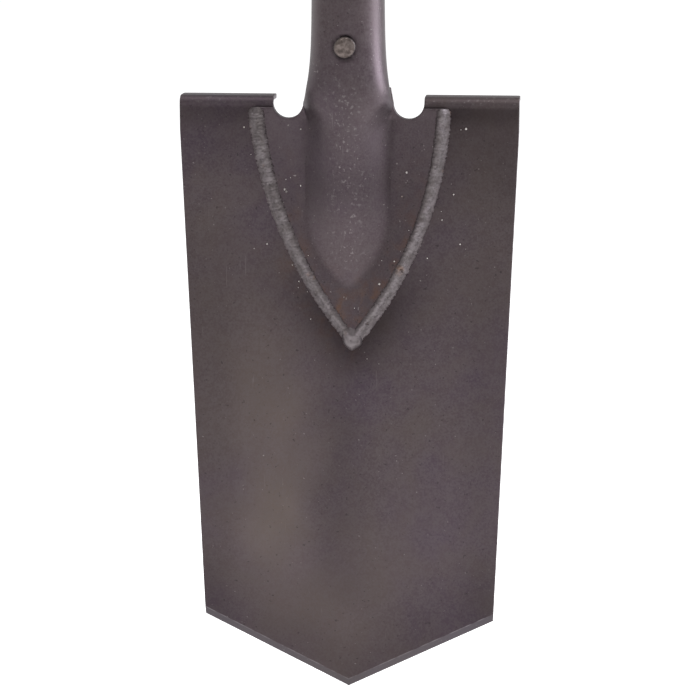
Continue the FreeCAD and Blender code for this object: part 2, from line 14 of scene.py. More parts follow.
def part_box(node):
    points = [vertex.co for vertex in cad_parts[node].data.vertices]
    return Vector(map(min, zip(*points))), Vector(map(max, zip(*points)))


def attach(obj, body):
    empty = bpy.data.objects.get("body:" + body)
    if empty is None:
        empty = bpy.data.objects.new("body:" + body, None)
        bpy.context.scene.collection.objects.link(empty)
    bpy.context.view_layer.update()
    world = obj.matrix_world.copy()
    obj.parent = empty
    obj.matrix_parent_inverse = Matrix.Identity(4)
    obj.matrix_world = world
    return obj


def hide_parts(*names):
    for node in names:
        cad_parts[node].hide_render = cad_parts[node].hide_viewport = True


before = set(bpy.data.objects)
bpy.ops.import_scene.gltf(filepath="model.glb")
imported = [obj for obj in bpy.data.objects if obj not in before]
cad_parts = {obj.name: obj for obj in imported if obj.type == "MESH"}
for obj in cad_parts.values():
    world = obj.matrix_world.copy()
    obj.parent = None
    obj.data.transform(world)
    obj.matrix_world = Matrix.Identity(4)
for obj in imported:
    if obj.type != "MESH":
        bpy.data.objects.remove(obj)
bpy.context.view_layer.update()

LOG = logging.getLogger("shovel")
MM = 0.001
ROOT = "root"

# Sizes are in mm. Y is measured from the middle of the blade's sheet, and Z from its point.
BLADE_SHEET = 2.2
SOCKET_SHEET = 2.1
BLADE_FACE = -BLADE_SHEET / 2
TONGUE_FACE = BLADE_FACE - SOCKET_SHEET
SHAFT_AXIS = -2.35
BAR_HEIGHT = 880.5
PLANE_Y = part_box("blade")[0][1] / MM + BLADE_SHEET / 2

OUTLINE_STEP = 1.6
RIPPLE_STEP = 1.6
NOISE_ROUGHNESS = 0.55
WHITE = (1.0, 1.0, 1.0)

Point = tuple[float, float]
Bow = tuple[Point, Point, Point]
Triple = tuple[float, float, float]
Colour = tuple[float, float, float]
Face = tuple[int, ...]
Share = bpy.types.NodeSocket | float
Tint = bpy.types.NodeSocket | Colour


class Finish(Enum):
    """The record's material slots."""

    BLADE = "blade_steel"
    SOCKET = "socket_steel"
    WELD = "weld_metal"
    RIVET = "rivet_steel"
    SHAFT = "shaft_paint"
    RUBBER = "grip_rubber"
    PLUG = "plug_plastic"


# --------------------------------------------------------------- number work


def smooth(share: np.ndarray | float) -> np.ndarray:
    """Ease from 0 to 1 with level ends.

    Args:
        share: how far along, clamped to 0..1.

    Returns:
        The eased value.
    """
    share = np.clip(share, 0.0, 1.0)
    return share * share * (3 - 2 * share)


def climb(value: np.ndarray, start: float, width: float) -> np.ndarray:
    """Ease up from 0 where a value passes start to 1 a width further on."""
    return smooth((value - start) / width)


def fade(value: np.ndarray, end: float, width: float) -> np.ndarray:
    """Ease down from 1 to 0 over the width before a value reaches end."""
    return smooth((end - value) / width)


def hump(value: np.ndarray, centre: float | np.ndarray, width: float) -> np.ndarray:
    """Soft bump of 1 at the centre that dies away on both sides."""
    return np.exp(-(((value - centre) / width) ** 2))


def unit(rows: np.ndarray) -> np.ndarray:
    """Scale each row to length 1."""
    return rows / np.linalg.norm(rows, axis=1, keepdims=True)


def rough(points: np.ndarray, scale: float, seed: float = 0.0) -> np.ndarray:
    """Sample smooth unevenness at many places.

    Args:
        points: n rows of two or three coordinates in mm.
        scale: size of one bump in mm.
        seed: shifts the pattern, so that pieces differ.

    Returns:
        n values from about -1 to 1.
    """
    rows = np.zeros((len(points), 3))
    rows[:, : points.shape[1]] = points / scale
    return np.array([noise.noise(Vector(row) + Vector((seed, 0, 0))) for row in rows])


def arc_points(start: Point, middle: Point, end: Point, count: int) -> list[Point]:
    """Space points evenly along the arc through three points.

    Args:
        start: first end of the arc.
        middle: any point on it.
        end: other end of the arc.
        count: how many points to return.

    Returns:
        The points, start and end included.
    """
    (ax, ay), (bx, by), (cx, cy) = start, middle, end
    d = 2 * (ax * (by - cy) + bx * (cy - ay) + cx * (ay - by))
    ux = ((ax**2 + ay**2) * (by - cy) + (bx**2 + by**2) * (cy - ay) + (cx**2 + cy**2) * (ay - by)) / d
    uy = ((ax**2 + ay**2) * (cx - bx) + (bx**2 + by**2) * (ax - cx) + (cx**2 + cy**2) * (bx - ax)) / d
    first, last = math.atan2(ay - uy, ax - ux), math.atan2(cy - uy, cx - ux)
    last = first + math.remainder(last - first, math.tau)
    radius = math.hypot(ax - ux, ay - uy)
    turns = np.linspace(first, last, count)
    return [(ux + radius * math.cos(a), uy + radius * math.sin(a)) for a in turns]


def within(ring: np.ndarray, spots: np.ndarray) -> np.ndarray:
    """Tell which spots lie inside a closed outline.

    Args:
        ring: corners of the outline in order.
        spots: flat positions to try.

    Returns:
        True for each spot inside.
    """
    inside = np.zeros(len(spots), dtype=bool)
    for a, b in zip(ring, np.roll(ring, -1, axis=0)):
        if a[1] != b[1]:
            crosses = (spots[:, 1] < a[1]) != (spots[:, 1] < b[1])
            meets = a[0] + (spots[:, 1] - a[1]) * (b[0] - a[0]) / (b[1] - a[1])
            inside ^= crosses & (spots[:, 0] < meets)
    return inside


def subdivide(corners: Sequence[Point], step: float) -> list[Point]:
    """Add points along a closed outline so that no side is longer than step.

    Args:
        corners: corners of the outline in order.
        step: longest side to leave, in mm.

    Returns:
        The corners with the new points between them.
    """
    points: list[Point] = []
    for (ax, ay), (bx, by) in zip(corners, list(corners[1:]) + [corners[0]]):
        parts = max(1, math.ceil(math.hypot(bx - ax, by - ay) / step))
        points += [(ax + (bx - ax) * i / parts, ay + (by - ay) * i / parts) for i in range(parts)]
    return points


# ----------------------------------------------------------------- mesh work


@dataclass
class Piece:
    """One visible mesh, in mm, with y measured from the middle of the blade's sheet."""

    name: str
    rows: np.ndarray
    faces: list[Face]
    masks: dict[str, np.ndarray] = field(default_factory=dict)
    crease: float = 40.0

    def place(self, slot: Finish, material: bpy.types.Material, *nodes: str) -> bpy.types.Object:
        """Put the mesh in the scene on the tool's body.

        Args:
            slot: material slot of the record that it stands for; not used.
            material: its material.
            nodes: the CAD nodes that it stands for.

        Returns:
            The new object.
        """
        mesh = bpy.data.meshes.new(self.name)
        rows = (self.rows + np.array([0.0, PLANE_Y, 0.0])) * MM
        mesh.from_pydata(rows.tolist(), [], self.faces)
        for label, values in self.masks.items():
            layer = mesh.attributes.new(label, "FLOAT", "POINT")
            layer.data.foreach_set("value", np.asarray(values, dtype=np.float32))
        shaped = bmesh.new()
        shaped.from_mesh(mesh)
        bmesh.ops.recalc_face_normals(shaped, faces=shaped.faces)
        shaped.to_mesh(mesh)
        shaped.free()
        mesh.shade_smooth()
        mesh.set_sharp_from_angle(angle=math.radians(self.crease))
        mesh.materials.append(material)
        obj = bpy.data.objects.new(self.name, mesh)
        bpy.context.scene.collection.objects.link(obj)
        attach(obj, ROOT)
        if nodes:
            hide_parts(*nodes)
        LOG.info("%s: %d points, %d faces", self.name, len(rows), len(self.faces))
        return obj


@dataclass
class SheetForm:
    """A sheet drawn flat, then bent, with rounded edges all round.

    The mesh follows each of its lines, thin gives the metal lost from the front,
    and behind is how much of each mask shows on the rear.
    """

    name: str
    outline: list[Point]
    bend: Callable[[np.ndarray], np.ndarray]
    thickness: float
    pitch: Point = (1.5, 1.5)
    edge: float = 0.35
    lines: list[list[Point]] = field(default_factory=list)
    thin: Callable[[np.ndarray], np.ndarray] | None = None
    behind: float = 0.5

    def normals(self, flat: np.ndarray) -> np.ndarray:
        """Find which way the bent sheet faces.

        Args:
            flat: positions on the flat sheet in mm.

        Returns:
            The outward direction at each.
        """
        step = 0.02
        across = self.bend(flat + [step, 0]) - self.bend(flat - [step, 0])
        up = self.bend(flat + [0, step]) - self.bend(flat - [0, step])
        return unit(np.cross(across, up))

    def inward(self) -> tuple[np.ndarray, np.ndarray]:
        """Pull the outline in by the edge radius, measured on the bent sheet.

        Returns:
            The pulled-in flat positions, and the directions from them to the edge.
        """
        ring = np.array(self.outline)
        run = np.roll(ring, -1, axis=0) - np.roll(ring, 1, axis=0)
        area = np.sum(ring[:, 0] * np.roll(ring[:, 1], -1) - np.roll(ring[:, 0], -1) * ring[:, 1])
        out = unit(np.stack([run[:, 1], -run[:, 0]], axis=1) * (1 if area > 0 else -1))
        probe, least = 0.05, 0.2
        reach = self.bend(ring) - self.bend(ring - out * probe)
        stretch = np.linalg.norm(reach, axis=1, keepdims=True) / probe
        pulled = ring - out * self.edge / np.maximum(stretch, least)
        return pulled, unit(self.bend(ring) - self.bend(pulled))

    def fill(self, pulled: np.ndarray) -> tuple[np.ndarray, list[Face]]:
        """Mesh the flat inside of an outline with an even grid of points.

        Args:
            pulled: the outline's positions in order.

        Returns:
            Flat positions, the outline's first, and triangles.
        """
        low, high = pulled.min(axis=0), pulled.max(axis=0)
        across = np.arange(low[0], high[0], self.pitch[0])
        up = np.arange(low[1], high[1], self.pitch[1])
        grid = np.stack(np.meshgrid(across, up), axis=-1).reshape(-1, 2)
        fixed = [pulled] + [np.array(line) for line in self.lines]
        grid = grid[within(pulled, grid)]
        clear = np.ones(len(grid), dtype=bool)
        margin = 0.55 * min(self.pitch)
        for spots in fixed:
            for spot in spots:
                clear &= np.hypot(*(grid - spot).T) > margin
        grid = grid[clear]
        points = np.concatenate(fixed + [grid])
        edges = [(i, (i + 1) % len(pulled)) for i in range(len(pulled))]
        start = len(pulled)
        for line in self.lines:
            edges += [(start + i, start + i + 1) for i in range(len(line) - 1)]
            start += len(line)
        result = geometry.delaunay_2d_cdt(
            [Vector(p) for p in points.tolist()], edges, [], 0, 1e-5, True
        )
        order = [ids[0] if ids else -1 for ids in result[3]]
        flat = np.array([tuple(v) for v in result[0]])
        where = {old: new for new, old in enumerate(order)}
        rim = [where[i] for i in range(len(pulled))]
        rest = [i for i in range(len(flat)) if i not in set(rim)]
        new = {old: i for i, old in enumerate(rim + rest)}
        middles = np.array([flat[list(face)].mean(axis=0) for face in result[2]])
        kept = within(pulled, middles)
        faces = [tuple(new[i] for i in face) for face, keep in zip(result[2], kept) if keep]
        return flat[rim + rest], faces

    def make(self, masks: Callable[[np.ndarray], dict[str, np.ndarray]]) -> Piece:
        """Bend the sheet and give it thickness.

        Args:
            masks: gives each named mask for flat positions in mm.

        Returns:
            The closed mesh, with a mask named rim that is 1 on its edges.
        """
        pulled, side = self.inward()
        flat, faces = self.fill(pulled)
        count, ring = len(flat), len(pulled)
        normal = self.normals(flat)
        loss = self.thin(flat) if self.thin else np.zeros(count)
        top = self.bend(flat) - normal * loss[:, None]
        base = self.bend(flat) - normal * self.thickness
        rows = [top, base]
        turns = (30.0, 60.0, 90.0)
        for start, order, way in ((top, turns, -1), (base, reversed(turns), 1)):
            for turn in order:
                lean, drop = math.sin(math.radians(turn)), 1 - math.cos(math.radians(turn))
                rows.append(start[:ring] + (side * lean + normal[:ring] * drop * way) * self.edge)
        skin = faces + [tuple(i + count for i in reversed(face)) for face in faces]
        loops = [0] + [2 * count + i * ring for i in range(2 * len(turns))] + [count]
        for a, b in zip(loops, loops[1:]):
            skin += [(a + i, a + (i + 1) % ring, b + (i + 1) % ring, b + i) for i in range(ring)]
        edge_count = 2 * len(turns)
        full = {}
        for label, values in masks(flat).items():
            full[label] = np.concatenate([values, values * self.behind] + [values[:ring]] * edge_count)
        full["rim"] = np.concatenate([np.zeros(2 * count), np.ones(ring * edge_count)])
        return Piece(self.name, np.concatenate(rows), skin, full)


def lathe(profile: Sequence[Point], sides: int) -> tuple[np.ndarray, list[Face]]:
    """Turn a closed profile of (radius, length along the axis) about +Z.

    Args:
        profile: the section's corners in order.
        sides: how many steps round.

    Returns:
        Points in mm about the origin, and quads.
    """
    count = len(profile)
    turns = np.linspace(0, math.tau, sides, endpoint=False)
    rows = [(r * math.cos(a), r * math.sin(a), z) for a in turns for r, z in profile]
    faces: list[Face] = []
    for i in range(sides):
        a, b = i * count, ((i + 1) % sides) * count
        faces += [(a + j, b + j, b + (j + 1) % count, a + (j + 1) % count) for j in range(count)]
    return np.array(rows), faces


def rounded(profile: Sequence[Point], radius: float, steps: int = 4) -> list[Point]:
    """Round every corner of a closed profile.

    Args:
        profile: corners in order.
        radius: rounding, cut down where a side is short.
        steps: points on each rounding.

    Returns:
        The rounded profile.
    """
    result: list[Point] = []
    count = len(profile)
    for i, corner in enumerate(profile):
        here = np.array(corner)
        before, after = np.array(profile[i - 1]) - here, np.array(profile[(i + 1) % count]) - here
        reach = min(radius, 0.45 * np.linalg.norm(before), 0.45 * np.linalg.norm(after))
        a = here + before / np.linalg.norm(before) * reach
        b = here + after / np.linalg.norm(after) * reach
        for t in np.linspace(0, 1, steps):
            result.append(tuple(a * (1 - t) ** 2 + 2 * here * t * (1 - t) + b * t * t))
    return result


@dataclass
class Bead:
    """A run of weld metal laid along a path."""

    name: str
    path: np.ndarray
    out: np.ndarray
    side: np.ndarray
    half: np.ndarray
    height: np.ndarray
    step_up: float = 0.0
    closed: bool = False
    seed: float = 0.0
    pits: tuple[Point, ...] = ()
    columns: int = 17

    def make(self) -> Piece:
        """Shape the crown with overlapping ripples and uneven toes.

        Returns:
            The closed mesh, with a mask named rim that is 1 along its toes.
        """
        count = len(self.path)
        lengths = np.linalg.norm(np.diff(self.path, axis=0), axis=1)
        travel = np.concatenate([[0.0], np.cumsum(lengths)])
        across = np.linspace(-1, 1, self.columns)
        grid_s, grid_c = np.meshgrid(travel, across, indexing="ij")
        keys = np.stack([grid_s.ravel(), grid_c.ravel() * 2], axis=1)
        wave = rough(keys, 2.3, self.seed).reshape(grid_s.shape)
        fine = rough(keys, 0.8, self.seed + 7).reshape(grid_s.shape)
        drift = rough(np.stack([travel, travel * 0], axis=1), 4.5, self.seed + 3)
        toes = rough(np.stack([travel, travel * 0], axis=1), 0.95, self.seed + 5)
        phase = (grid_s + 1.3 * grid_c**2 + 0.5 * drift[:, None]) / RIPPLE_STEP
        scallop = 0.5 - 0.5 * np.cos(math.tau * phase)
        crown = np.clip(1 - np.abs(grid_c) ** 2.3, 0, 1) ** 0.95
        crown = crown * (self.height + 0.18 * drift)[:, None]
        crown += crown / max(self.height.max(), 0.1) * (0.08 * scallop + 0.46 * wave + 0.36 * fine)
        for place, size in self.pits:
            gap = np.hypot(grid_s - place * travel[-1], grid_c * self.half.mean())
            crown -= 1.6 * size * np.exp(-((gap / size) ** 2))
        crown = np.maximum(crown, 0.0)
        base = self.step_up * smooth((grid_c + 0.75) / 1.3)
        lean = rough(np.stack([travel, travel * 0 + 9], axis=1), 3.1, self.seed + 11)
        ragged = (0.26 * drift + 0.52 * toes)[:, None] + 0.16 * lean[:, None] * np.sign(grid_c)
        width = (self.half[:, None] + ragged * np.abs(grid_c) ** 2) * grid_c
        lift = (crown + base)[..., None] * self.out[:, None, :]
        top = self.path[:, None, :] + width[..., None] * self.side[:, None, :] + lift
        sunk = self.path[:, None, :] + 0.96 * width[..., None] * self.side[:, None, :]
        sunk = sunk + (base - 0.25)[..., None] * self.out[:, None, :]
        rows = np.concatenate([top.reshape(-1, 3), sunk.reshape(-1, 3)])
        wide, total = self.columns, count * self.columns
        faces: list[Face] = []
        last = count if self.closed else count - 1
        for i in range(last):
            k = (i + 1) % count
            for j in range(wide - 1):
                a, b = i * wide + j, k * wide + j
                faces.append((a, b, b + 1, a + 1))
                faces.append((total + a, total + a + 1, total + b + 1, total + b))
            for j in (0, wide - 1):
                a, b = i * wide + j, k * wide + j
                faces.append((a, total + a, total + b, b))
        if not self.closed:
            for i in (0, count - 1):
                for j in range(wide - 1):
                    a = i * wide + j
                    faces.append((a, a + 1, total + a + 1, total + a))
        toe = np.abs(grid_c).ravel() ** 3
        return Piece(self.name, rows, faces, {"rim": np.concatenate([toe, toe])}, 70.0)


# ----------------------------------------------------------------- materials


def node_at(tree: bpy.types.NodeTree, kind: str, **settings: object) -> bpy.types.Node:
    """Add a node and set its plain properties.

    Args:
        tree: where it goes.
        kind: its Blender type name.
        settings: property names and values.

    Returns:
        The node.
    """
    node = tree.nodes.new(kind)
    for key, value in settings.items():
        setattr(node, key, value)
    return node


def wire(tree: bpy.types.NodeTree, socket: bpy.types.NodeSocket, value: Share | Tint) -> None:
    """Link or set one input.

    Args:
        tree: the node tree that it is in.
        socket: the input.
        value: a socket, a number or an RGB triple.
    """
    if isinstance(value, bpy.types.NodeSocket):
        tree.links.new(value, socket)
    else:
        socket.default_value = (*value, 1.0) if isinstance(value, tuple) else value


def math_node(tree: bpy.types.NodeTree, operation: str, *values: Share) -> bpy.types.NodeSocket:
    """Wire a Math node.

    Args:
        tree: where it goes.
        operation: its Blender operation.
        values: its inputs in order.

    Returns:
        Its output.
    """
    node = node_at(tree, "ShaderNodeMath", operation=operation)
    for socket, value in zip(node.inputs, values):
        wire(tree, socket, value)
    return node.outputs[0]


def blend_colour(
    tree: bpy.types.NodeTree, share: Share, first: Tint, second: Tint, kind: str = "MIX"
) -> bpy.types.NodeSocket:
    """Mix two colours.

    Args:
        tree: where the node goes.
        share: how much of the second shows.
        first: colour underneath.
        second: colour on top.
        kind: Blender's way of blending.

    Returns:
        The mixed colour.
    """
    node = node_at(tree, "ShaderNodeMix", data_type="RGBA", blend_type=kind)
    for place, value in ((0, share), (6, first), (7, second)):
        wire(tree, node.inputs[place], value)
    return node.outputs[2]


def band(
    tree: bpy.types.NodeTree, value: bpy.types.NodeSocket, low: float, high: float
) -> bpy.types.NodeSocket:
    """Spread one stretch of a value over 0 to 1.

    Args:
        tree: where the node goes.
        value: the value.
        low: what becomes 0.
        high: what becomes 1.

    Returns:
        The spread value, clamped and eased.
    """
    node = node_at(tree, "ShaderNodeMapRange", interpolation_type="SMOOTHSTEP")
    tree.links.new(value, node.inputs["Value"])
    node.inputs["From Min"].default_value = low
    node.inputs["From Max"].default_value = high
    return node.outputs["Result"]


def cloud(
    tree: bpy.types.NodeTree, place: bpy.types.NodeSocket, scale: Share, detail: float = 4.0,
    spread: float = 0.0
) -> bpy.types.NodeSocket:
    """Add soft noise.

    Args:
        tree: where the node goes.
        place: position that the noise is read at.
        scale: bumps to the metre, about.
        detail: how many finer layers it has.
        spread: how much it is stirred.

    Returns:
        The noise value.
    """
    node = node_at(tree, "ShaderNodeTexNoise")
    tree.links.new(place, node.inputs["Vector"])
    wire(tree, node.inputs["Scale"], scale)
    node.inputs["Detail"].default_value = detail
    node.inputs["Roughness"].default_value = NOISE_ROUGHNESS
    node.inputs["Distortion"].default_value = spread
    return node.outputs[0]


def mask(tree: bpy.types.NodeTree, name: str) -> bpy.types.NodeSocket:
    """Read a mask that the mesh carries."""
    return node_at(tree, "ShaderNodeAttribute", attribute_name=name).outputs["Fac"]


def new_group(name: str, inputs: dict[str, float], outputs: Sequence[str]) -> tuple:
    """Start a node group with number inputs and number outputs.

    Args:
        name: the group's name.
        inputs: input names with their default values.
        outputs: output names.

    Returns:
        The group, its input node and its output node.
    """
    tree = bpy.data.node_groups.new(name, "ShaderNodeTree")
    tree.interface.new_socket("Place", in_out="INPUT", socket_type="NodeSocketVector")
    for label, value in inputs.items():
        socket = tree.interface.new_socket(label, in_out="INPUT", socket_type="NodeSocketFloat")
        socket.default_value = value
    for label in outputs:
        tree.interface.new_socket(label, in_out="OUTPUT", socket_type="NodeSocketFloat")
    return tree, tree.nodes.new("NodeGroupInput"), tree.nodes.new("NodeGroupOutput")


@dataclass
class Effects:
    """Surface effects that several materials share, each built once."""

    grain: bpy.types.NodeTree = field(init=False)
    scuffs: bpy.types.NodeTree = field(init=False)
    worn_edge: bpy.types.NodeTree = field(init=False)

    def __post_init__(self) -> None:
        """Build the three groups."""
        self.grain = self._grain()
        self.scuffs = self._scuffs()
        self.worn_edge = self._worn_edge()

    def _grain(self) -> bpy.types.NodeTree:
        """Fine speckle, as of rolled and quenched steel or moulded rubber.

        Returns:
            The group.
        """
        tree, start, end = new_group("fine_grain", {"Scale": 900.0}, ("Speckle", "Height"))
        place, scale = start.outputs["Place"], start.outputs["Scale"]
        fine = cloud(tree, place, scale, 3.0)
        wide = cloud(tree, place, math_node(tree, "MULTIPLY", scale, 0.23), 3.0)
        both = math_node(tree, "ADD", math_node(tree, "MULTIPLY", fine, 0.65),
                         math_node(tree, "MULTIPLY", wide, 0.35))
        tree.links.new(band(tree, both, 0.36, 0.64), end.inputs["Speckle"])
        tree.links.new(both, end.inputs["Height"])
        return tree

    def _scuffs(self) -> bpy.types.NodeTree:
        """Sparse thin scratches that lean two ways.

        Returns:
            The group.
        """
        tree, start, end = new_group("scuffs", {"Scale": 40.0, "Amount": 0.5}, ("Scratch",))
        lines = None
        for turn, squeeze in ((0.35, 26.0), (-0.9, 19.0)):
            mapping = node_at(tree, "ShaderNodeMapping")
            tree.links.new(start.outputs["Place"], mapping.inputs["Vector"])
            mapping.inputs["Rotation"].default_value = (0.0, turn, 0.0)
            mapping.inputs["Scale"].default_value = (squeeze, 1.0, 1.0)
            streak = cloud(tree, mapping.outputs[0], start.outputs["Scale"], 2.0, 0.3)
            thin = band(tree, streak, 0.715, 0.74)
            lines = thin if lines is None else math_node(tree, "MAXIMUM", lines, thin)
        patches = band(tree, cloud(tree, start.outputs["Place"], 22.0), 0.45, 0.65)
        lines = math_node(tree, "MULTIPLY", lines, patches)
        tree.links.new(math_node(tree, "MULTIPLY", lines, start.outputs["Amount"]), end.inputs[0])
        return tree

    def _worn_edge(self) -> bpy.types.NodeTree:
        """Bare metal along the edges, broken up by noise.

        Returns:
            The group.
        """
        tree, start, end = new_group("worn_edge", {"Amount": 1.0}, ("Bare",))
        ragged = band(tree, cloud(tree, start.outputs["Place"], 260.0), 0.30, 0.62)
        bare = math_node(tree, "MULTIPLY", mask(tree, "rim"), ragged)
        tree.links.new(math_node(tree, "MULTIPLY", bare, start.outputs["Amount"]), end.inputs[0])
        return tree


@dataclass
class Surface:
    """A material under construction, with the sockets most finishes need."""

    name: str
    effects: Effects
    material: bpy.types.Material = field(init=False)
    tree: bpy.types.NodeTree = field(init=False)
    shader: bpy.types.Node = field(init=False)
    place: bpy.types.NodeSocket = field(init=False)

    def __post_init__(self) -> None:
        """Make the material with one Principled shader."""
        self.material = bpy.data.materials.new(self.name)
        self.material.use_nodes = True
        self.tree = self.material.node_tree
        self.shader = self.tree.nodes["Principled BSDF"]
        self.place = node_at(self.tree, "ShaderNodeTexCoord").outputs["Object"]

    def effect(self, group: bpy.types.NodeTree, output: str, **values: float) -> bpy.types.NodeSocket:
        """Place a shared effect with values of its own.

        Args:
            group: the effect.
            output: which of its outputs to use.
            values: its inputs by name.

        Returns:
            That output.
        """
        node = node_at(self.tree, "ShaderNodeGroup", node_tree=group)
        self.tree.links.new(self.place, node.inputs["Place"])
        for label, value in values.items():
            node.inputs[label].default_value = value
        return node.outputs[output]

    def patches(
        self, scale: float, low: float, high: float, detail: float = 4.0, spread: float = 0.0
    ) -> bpy.types.NodeSocket:
        """Cut soft noise into patches.

        Args:
            scale: bumps to the metre, about.
            low: noise value where a patch begins.
            high: noise value where it is full.
            detail: how many finer layers it has.
            spread: how much it is stirred.

        Returns:
            A share that is 1 inside the patches.
        """
        return band(self.tree, cloud(self.tree, self.place, scale, detail, spread), low, high)

    def over(self, base: Tint, share: Share, amount: Share, tint: Colour) -> bpy.types.NodeSocket:
        """Lay a tint over a colour.

        Args:
            base: colour underneath.
            share: where the tint goes.
            amount: how strong it is there.
            tint: colour on top.

        Returns:
            The mixed colour.
        """
        return blend_colour(self.tree, math_node(self.tree, "MULTIPLY", share, amount), base, tint)

    def feed(self, name: str, value: Share | Tint) -> None:
        """Link or set one input of the shader."""
        wire(self.tree, self.shader.inputs[name], value)

    def bump(self, *layers: tuple[bpy.types.NodeSocket, float]) -> None:
        """Stack bump layers.

        Args:
            layers: a height and its depth in mm for each.
        """
        normal = None
        for height, depth in layers:
            node = node_at(self.tree, "ShaderNodeBump")
            node.inputs["Distance"].default_value = depth * MM
            self.tree.links.new(height, node.inputs["Height"])
            if normal is not None:
                self.tree.links.new(normal, node.inputs["Normal"])
            normal = node.outputs[0]
        self.tree.links.new(normal, self.shader.inputs["Normal"])


@dataclass(frozen=True)
class OxideSteel:
    """Hardened sheet with a dark heat oxide."""

    name: str
    violet: Colour
    umber: Colour
    straw: Colour
    scorched: Colour = (0.040, 0.0285, 0.0245)
    orange: Colour = (0.105, 0.056, 0.038)
    grit: Colour = (0.12, 0.102, 0.104)
    pitted: Colour = (0.02, 0.017, 0.017)
    glint: Colour = (0.36, 0.33, 0.32)
    shade: Colour = (0.36, 0.33, 0.33)
    rubbed: Colour = (0.21, 0.185, 0.187)
    ground: Colour = (0.118, 0.112, 0.122)
    burr: Colour = (0.22, 0.20, 0.21)
    bare: Colour = (0.24, 0.215, 0.22)
    roughness: float = 0.46
    grain_scale: float = 1100.0
    wear: float = 0.5

    def tints(self, s: Surface, patch: bpy.types.NodeSocket) -> bpy.types.NodeSocket:
        """Lay the colours that heat gave the oxide.

        Args:
            s: the material.
            patch: middle-sized patches, shared with the gloss.

        Returns:
            The colour so far.
        """
        t = s.tree
        broad = s.patches(11.0, 0.36, 0.64, 5.0, 0.6)
        scorch = s.patches(70.0, 0.2, 0.6, 5.0, 0.4)
        flare = s.patches(130.0, 0.40, 0.72, 5.0, 0.5)
        colour = blend_colour(t, broad, self.violet, self.umber)
        colour = s.over(colour, patch, 0.35, self.straw)
        colour = blend_colour(t, mask(t, "straw"), colour, self.straw)
        colour = s.over(colour, mask(t, "heat"), scorch, self.scorched)
        return s.over(colour, mask(t, "burnt"), flare, self.orange)

    def marks(
        self, s: Surface, effects: Effects, colour: bpy.types.NodeSocket, speckle: bpy.types.NodeSocket
    ) -> bpy.types.NodeSocket:
        """Add grain, pits, scratches, painted shade with heat darkening, rubbed places and the ground
        edge.

        Args:
            s: the material.
            effects: the shared effects.
            colour: the colour so far.
            speckle: the fine grain, shared with the gloss.

        Returns:
            The finished colour.
        """
        t = s.tree
        colour = s.over(colour, speckle, 0.34, self.grit)
        colour = s.over(colour, s.patches(620.0, 0.66, 0.74, 2.0), 0.5, self.pitted)
        flecks = math_node(t, "MULTIPLY", s.patches(760.0, 0.705, 0.76, 2.0), 0.45)
        scratch = s.effect(effects.scuffs, "Scratch", Scale=46.0, Amount=0.12)
        colour = blend_colour(t, math_node(t, "MAXIMUM", flecks, scratch), colour, self.glint)
        # Painted shade, with heat darkening on the blade: the mask multiplies the colour darker.
        colour = blend_colour(t, mask(t, "dusk"), colour, self.shade, "MULTIPLY")
        worn = math_node(t, "MULTIPLY", s.patches(620.0, 0.575, 0.68, 5.0, 0.2), 0.8)
        lines = s.effect(effects.scuffs, "Scratch", Scale=110.0, Amount=0.9)
        colour = s.over(colour, math_node(t, "MAXIMUM", worn, lines), mask(t, "rubbed"), self.rubbed)
        brink = mask(t, "brink")
        colour = s.over(colour, band(t, brink, 0.672, 0.684), 0.32, self.ground)
        line = math_node(t, "MULTIPLY", band(t, brink, 0.645, 0.672), band(t, brink, 0.705, 0.684))
        line = math_node(t, "MULTIPLY", line, s.patches(240.0, 0.30, 0.66))
        colour = s.over(colour, line, 0.5, self.burr)
        bare = s.effect(effects.worn_edge, "Bare", Amount=self.wear)
        return blend_colour(t, bare, colour, self.bare)

    def build(self, effects: Effects) -> bpy.types.Material:
        """Layer the oxide's tints, grain, scratches and bare edges.

        Args:
            effects: the shared effects.

        Returns:
            The material.
        """
        s = Surface(self.name, effects)
        t = s.tree
        patch = s.patches(46.0, 0.35, 0.68, 6.0, 0.4)
        speckle = s.effect(effects.grain, "Speckle", Scale=self.grain_scale)
        s.feed("Base Color", self.marks(s, effects, self.tints(s, patch), speckle))
        s.feed("Metallic", 0.82)
        gloss = math_node(t, "MULTIPLY_ADD", patch, 0.10, self.roughness - 0.05)
        s.feed("Roughness", math_node(t, "MULTIPLY_ADD", speckle, 0.08, gloss))
        s.bump((s.effect(effects.grain, "Height", Scale=self.grain_scale), 0.03),
               (cloud(t, s.place, 90.0), 0.05))
        return s.material


@dataclass(frozen=True)
class WeldMetal:
    """Grey weld metal, darker along its toes: dirt, and painted shade in the crease where it meets the
    sheet.
    """

    name: str
    crown: Colour
    toe: Colour
    sooty: Colour = (0.084, 0.069, 0.069)
    glint: Colour = (0.20, 0.182, 0.182)
    rusty: Colour = (0.15, 0.075, 0.035)

    def build(self, effects: Effects) -> bpy.types.Material:
        """Lighten the crown, darken the toes with dirt and painted crease shade, and add spots of rust.

        Args:
            effects: the shared effects.

        Returns:
            The material.
        """
        s = Surface(self.name, effects)
        t = s.tree
        speckle = s.effect(effects.grain, "Speckle", Scale=800.0)
        blotch = s.patches(210.0, 0.34, 0.66, 5.0, 0.5)
        colour = blend_colour(t, blotch, self.crown, self.sooty)
        colour = s.over(colour, speckle, 0.4, self.glint)
        # Toes darker: dirt, and painted shade in the crease along the toe.
        colour = blend_colour(t, mask(t, "rim"), colour, self.toe)
        s.feed("Base Color", s.over(colour, s.patches(95.0, 0.62, 0.74, 5.0), 0.5, self.rusty))
        s.feed("Metallic", 0.75)
        s.feed("Roughness", math_node(t, "MULTIPLY_ADD", blotch, 0.15, 0.42))
        s.bump((s.effect(effects.grain, "Height", Scale=800.0), 0.05))
        return s.material


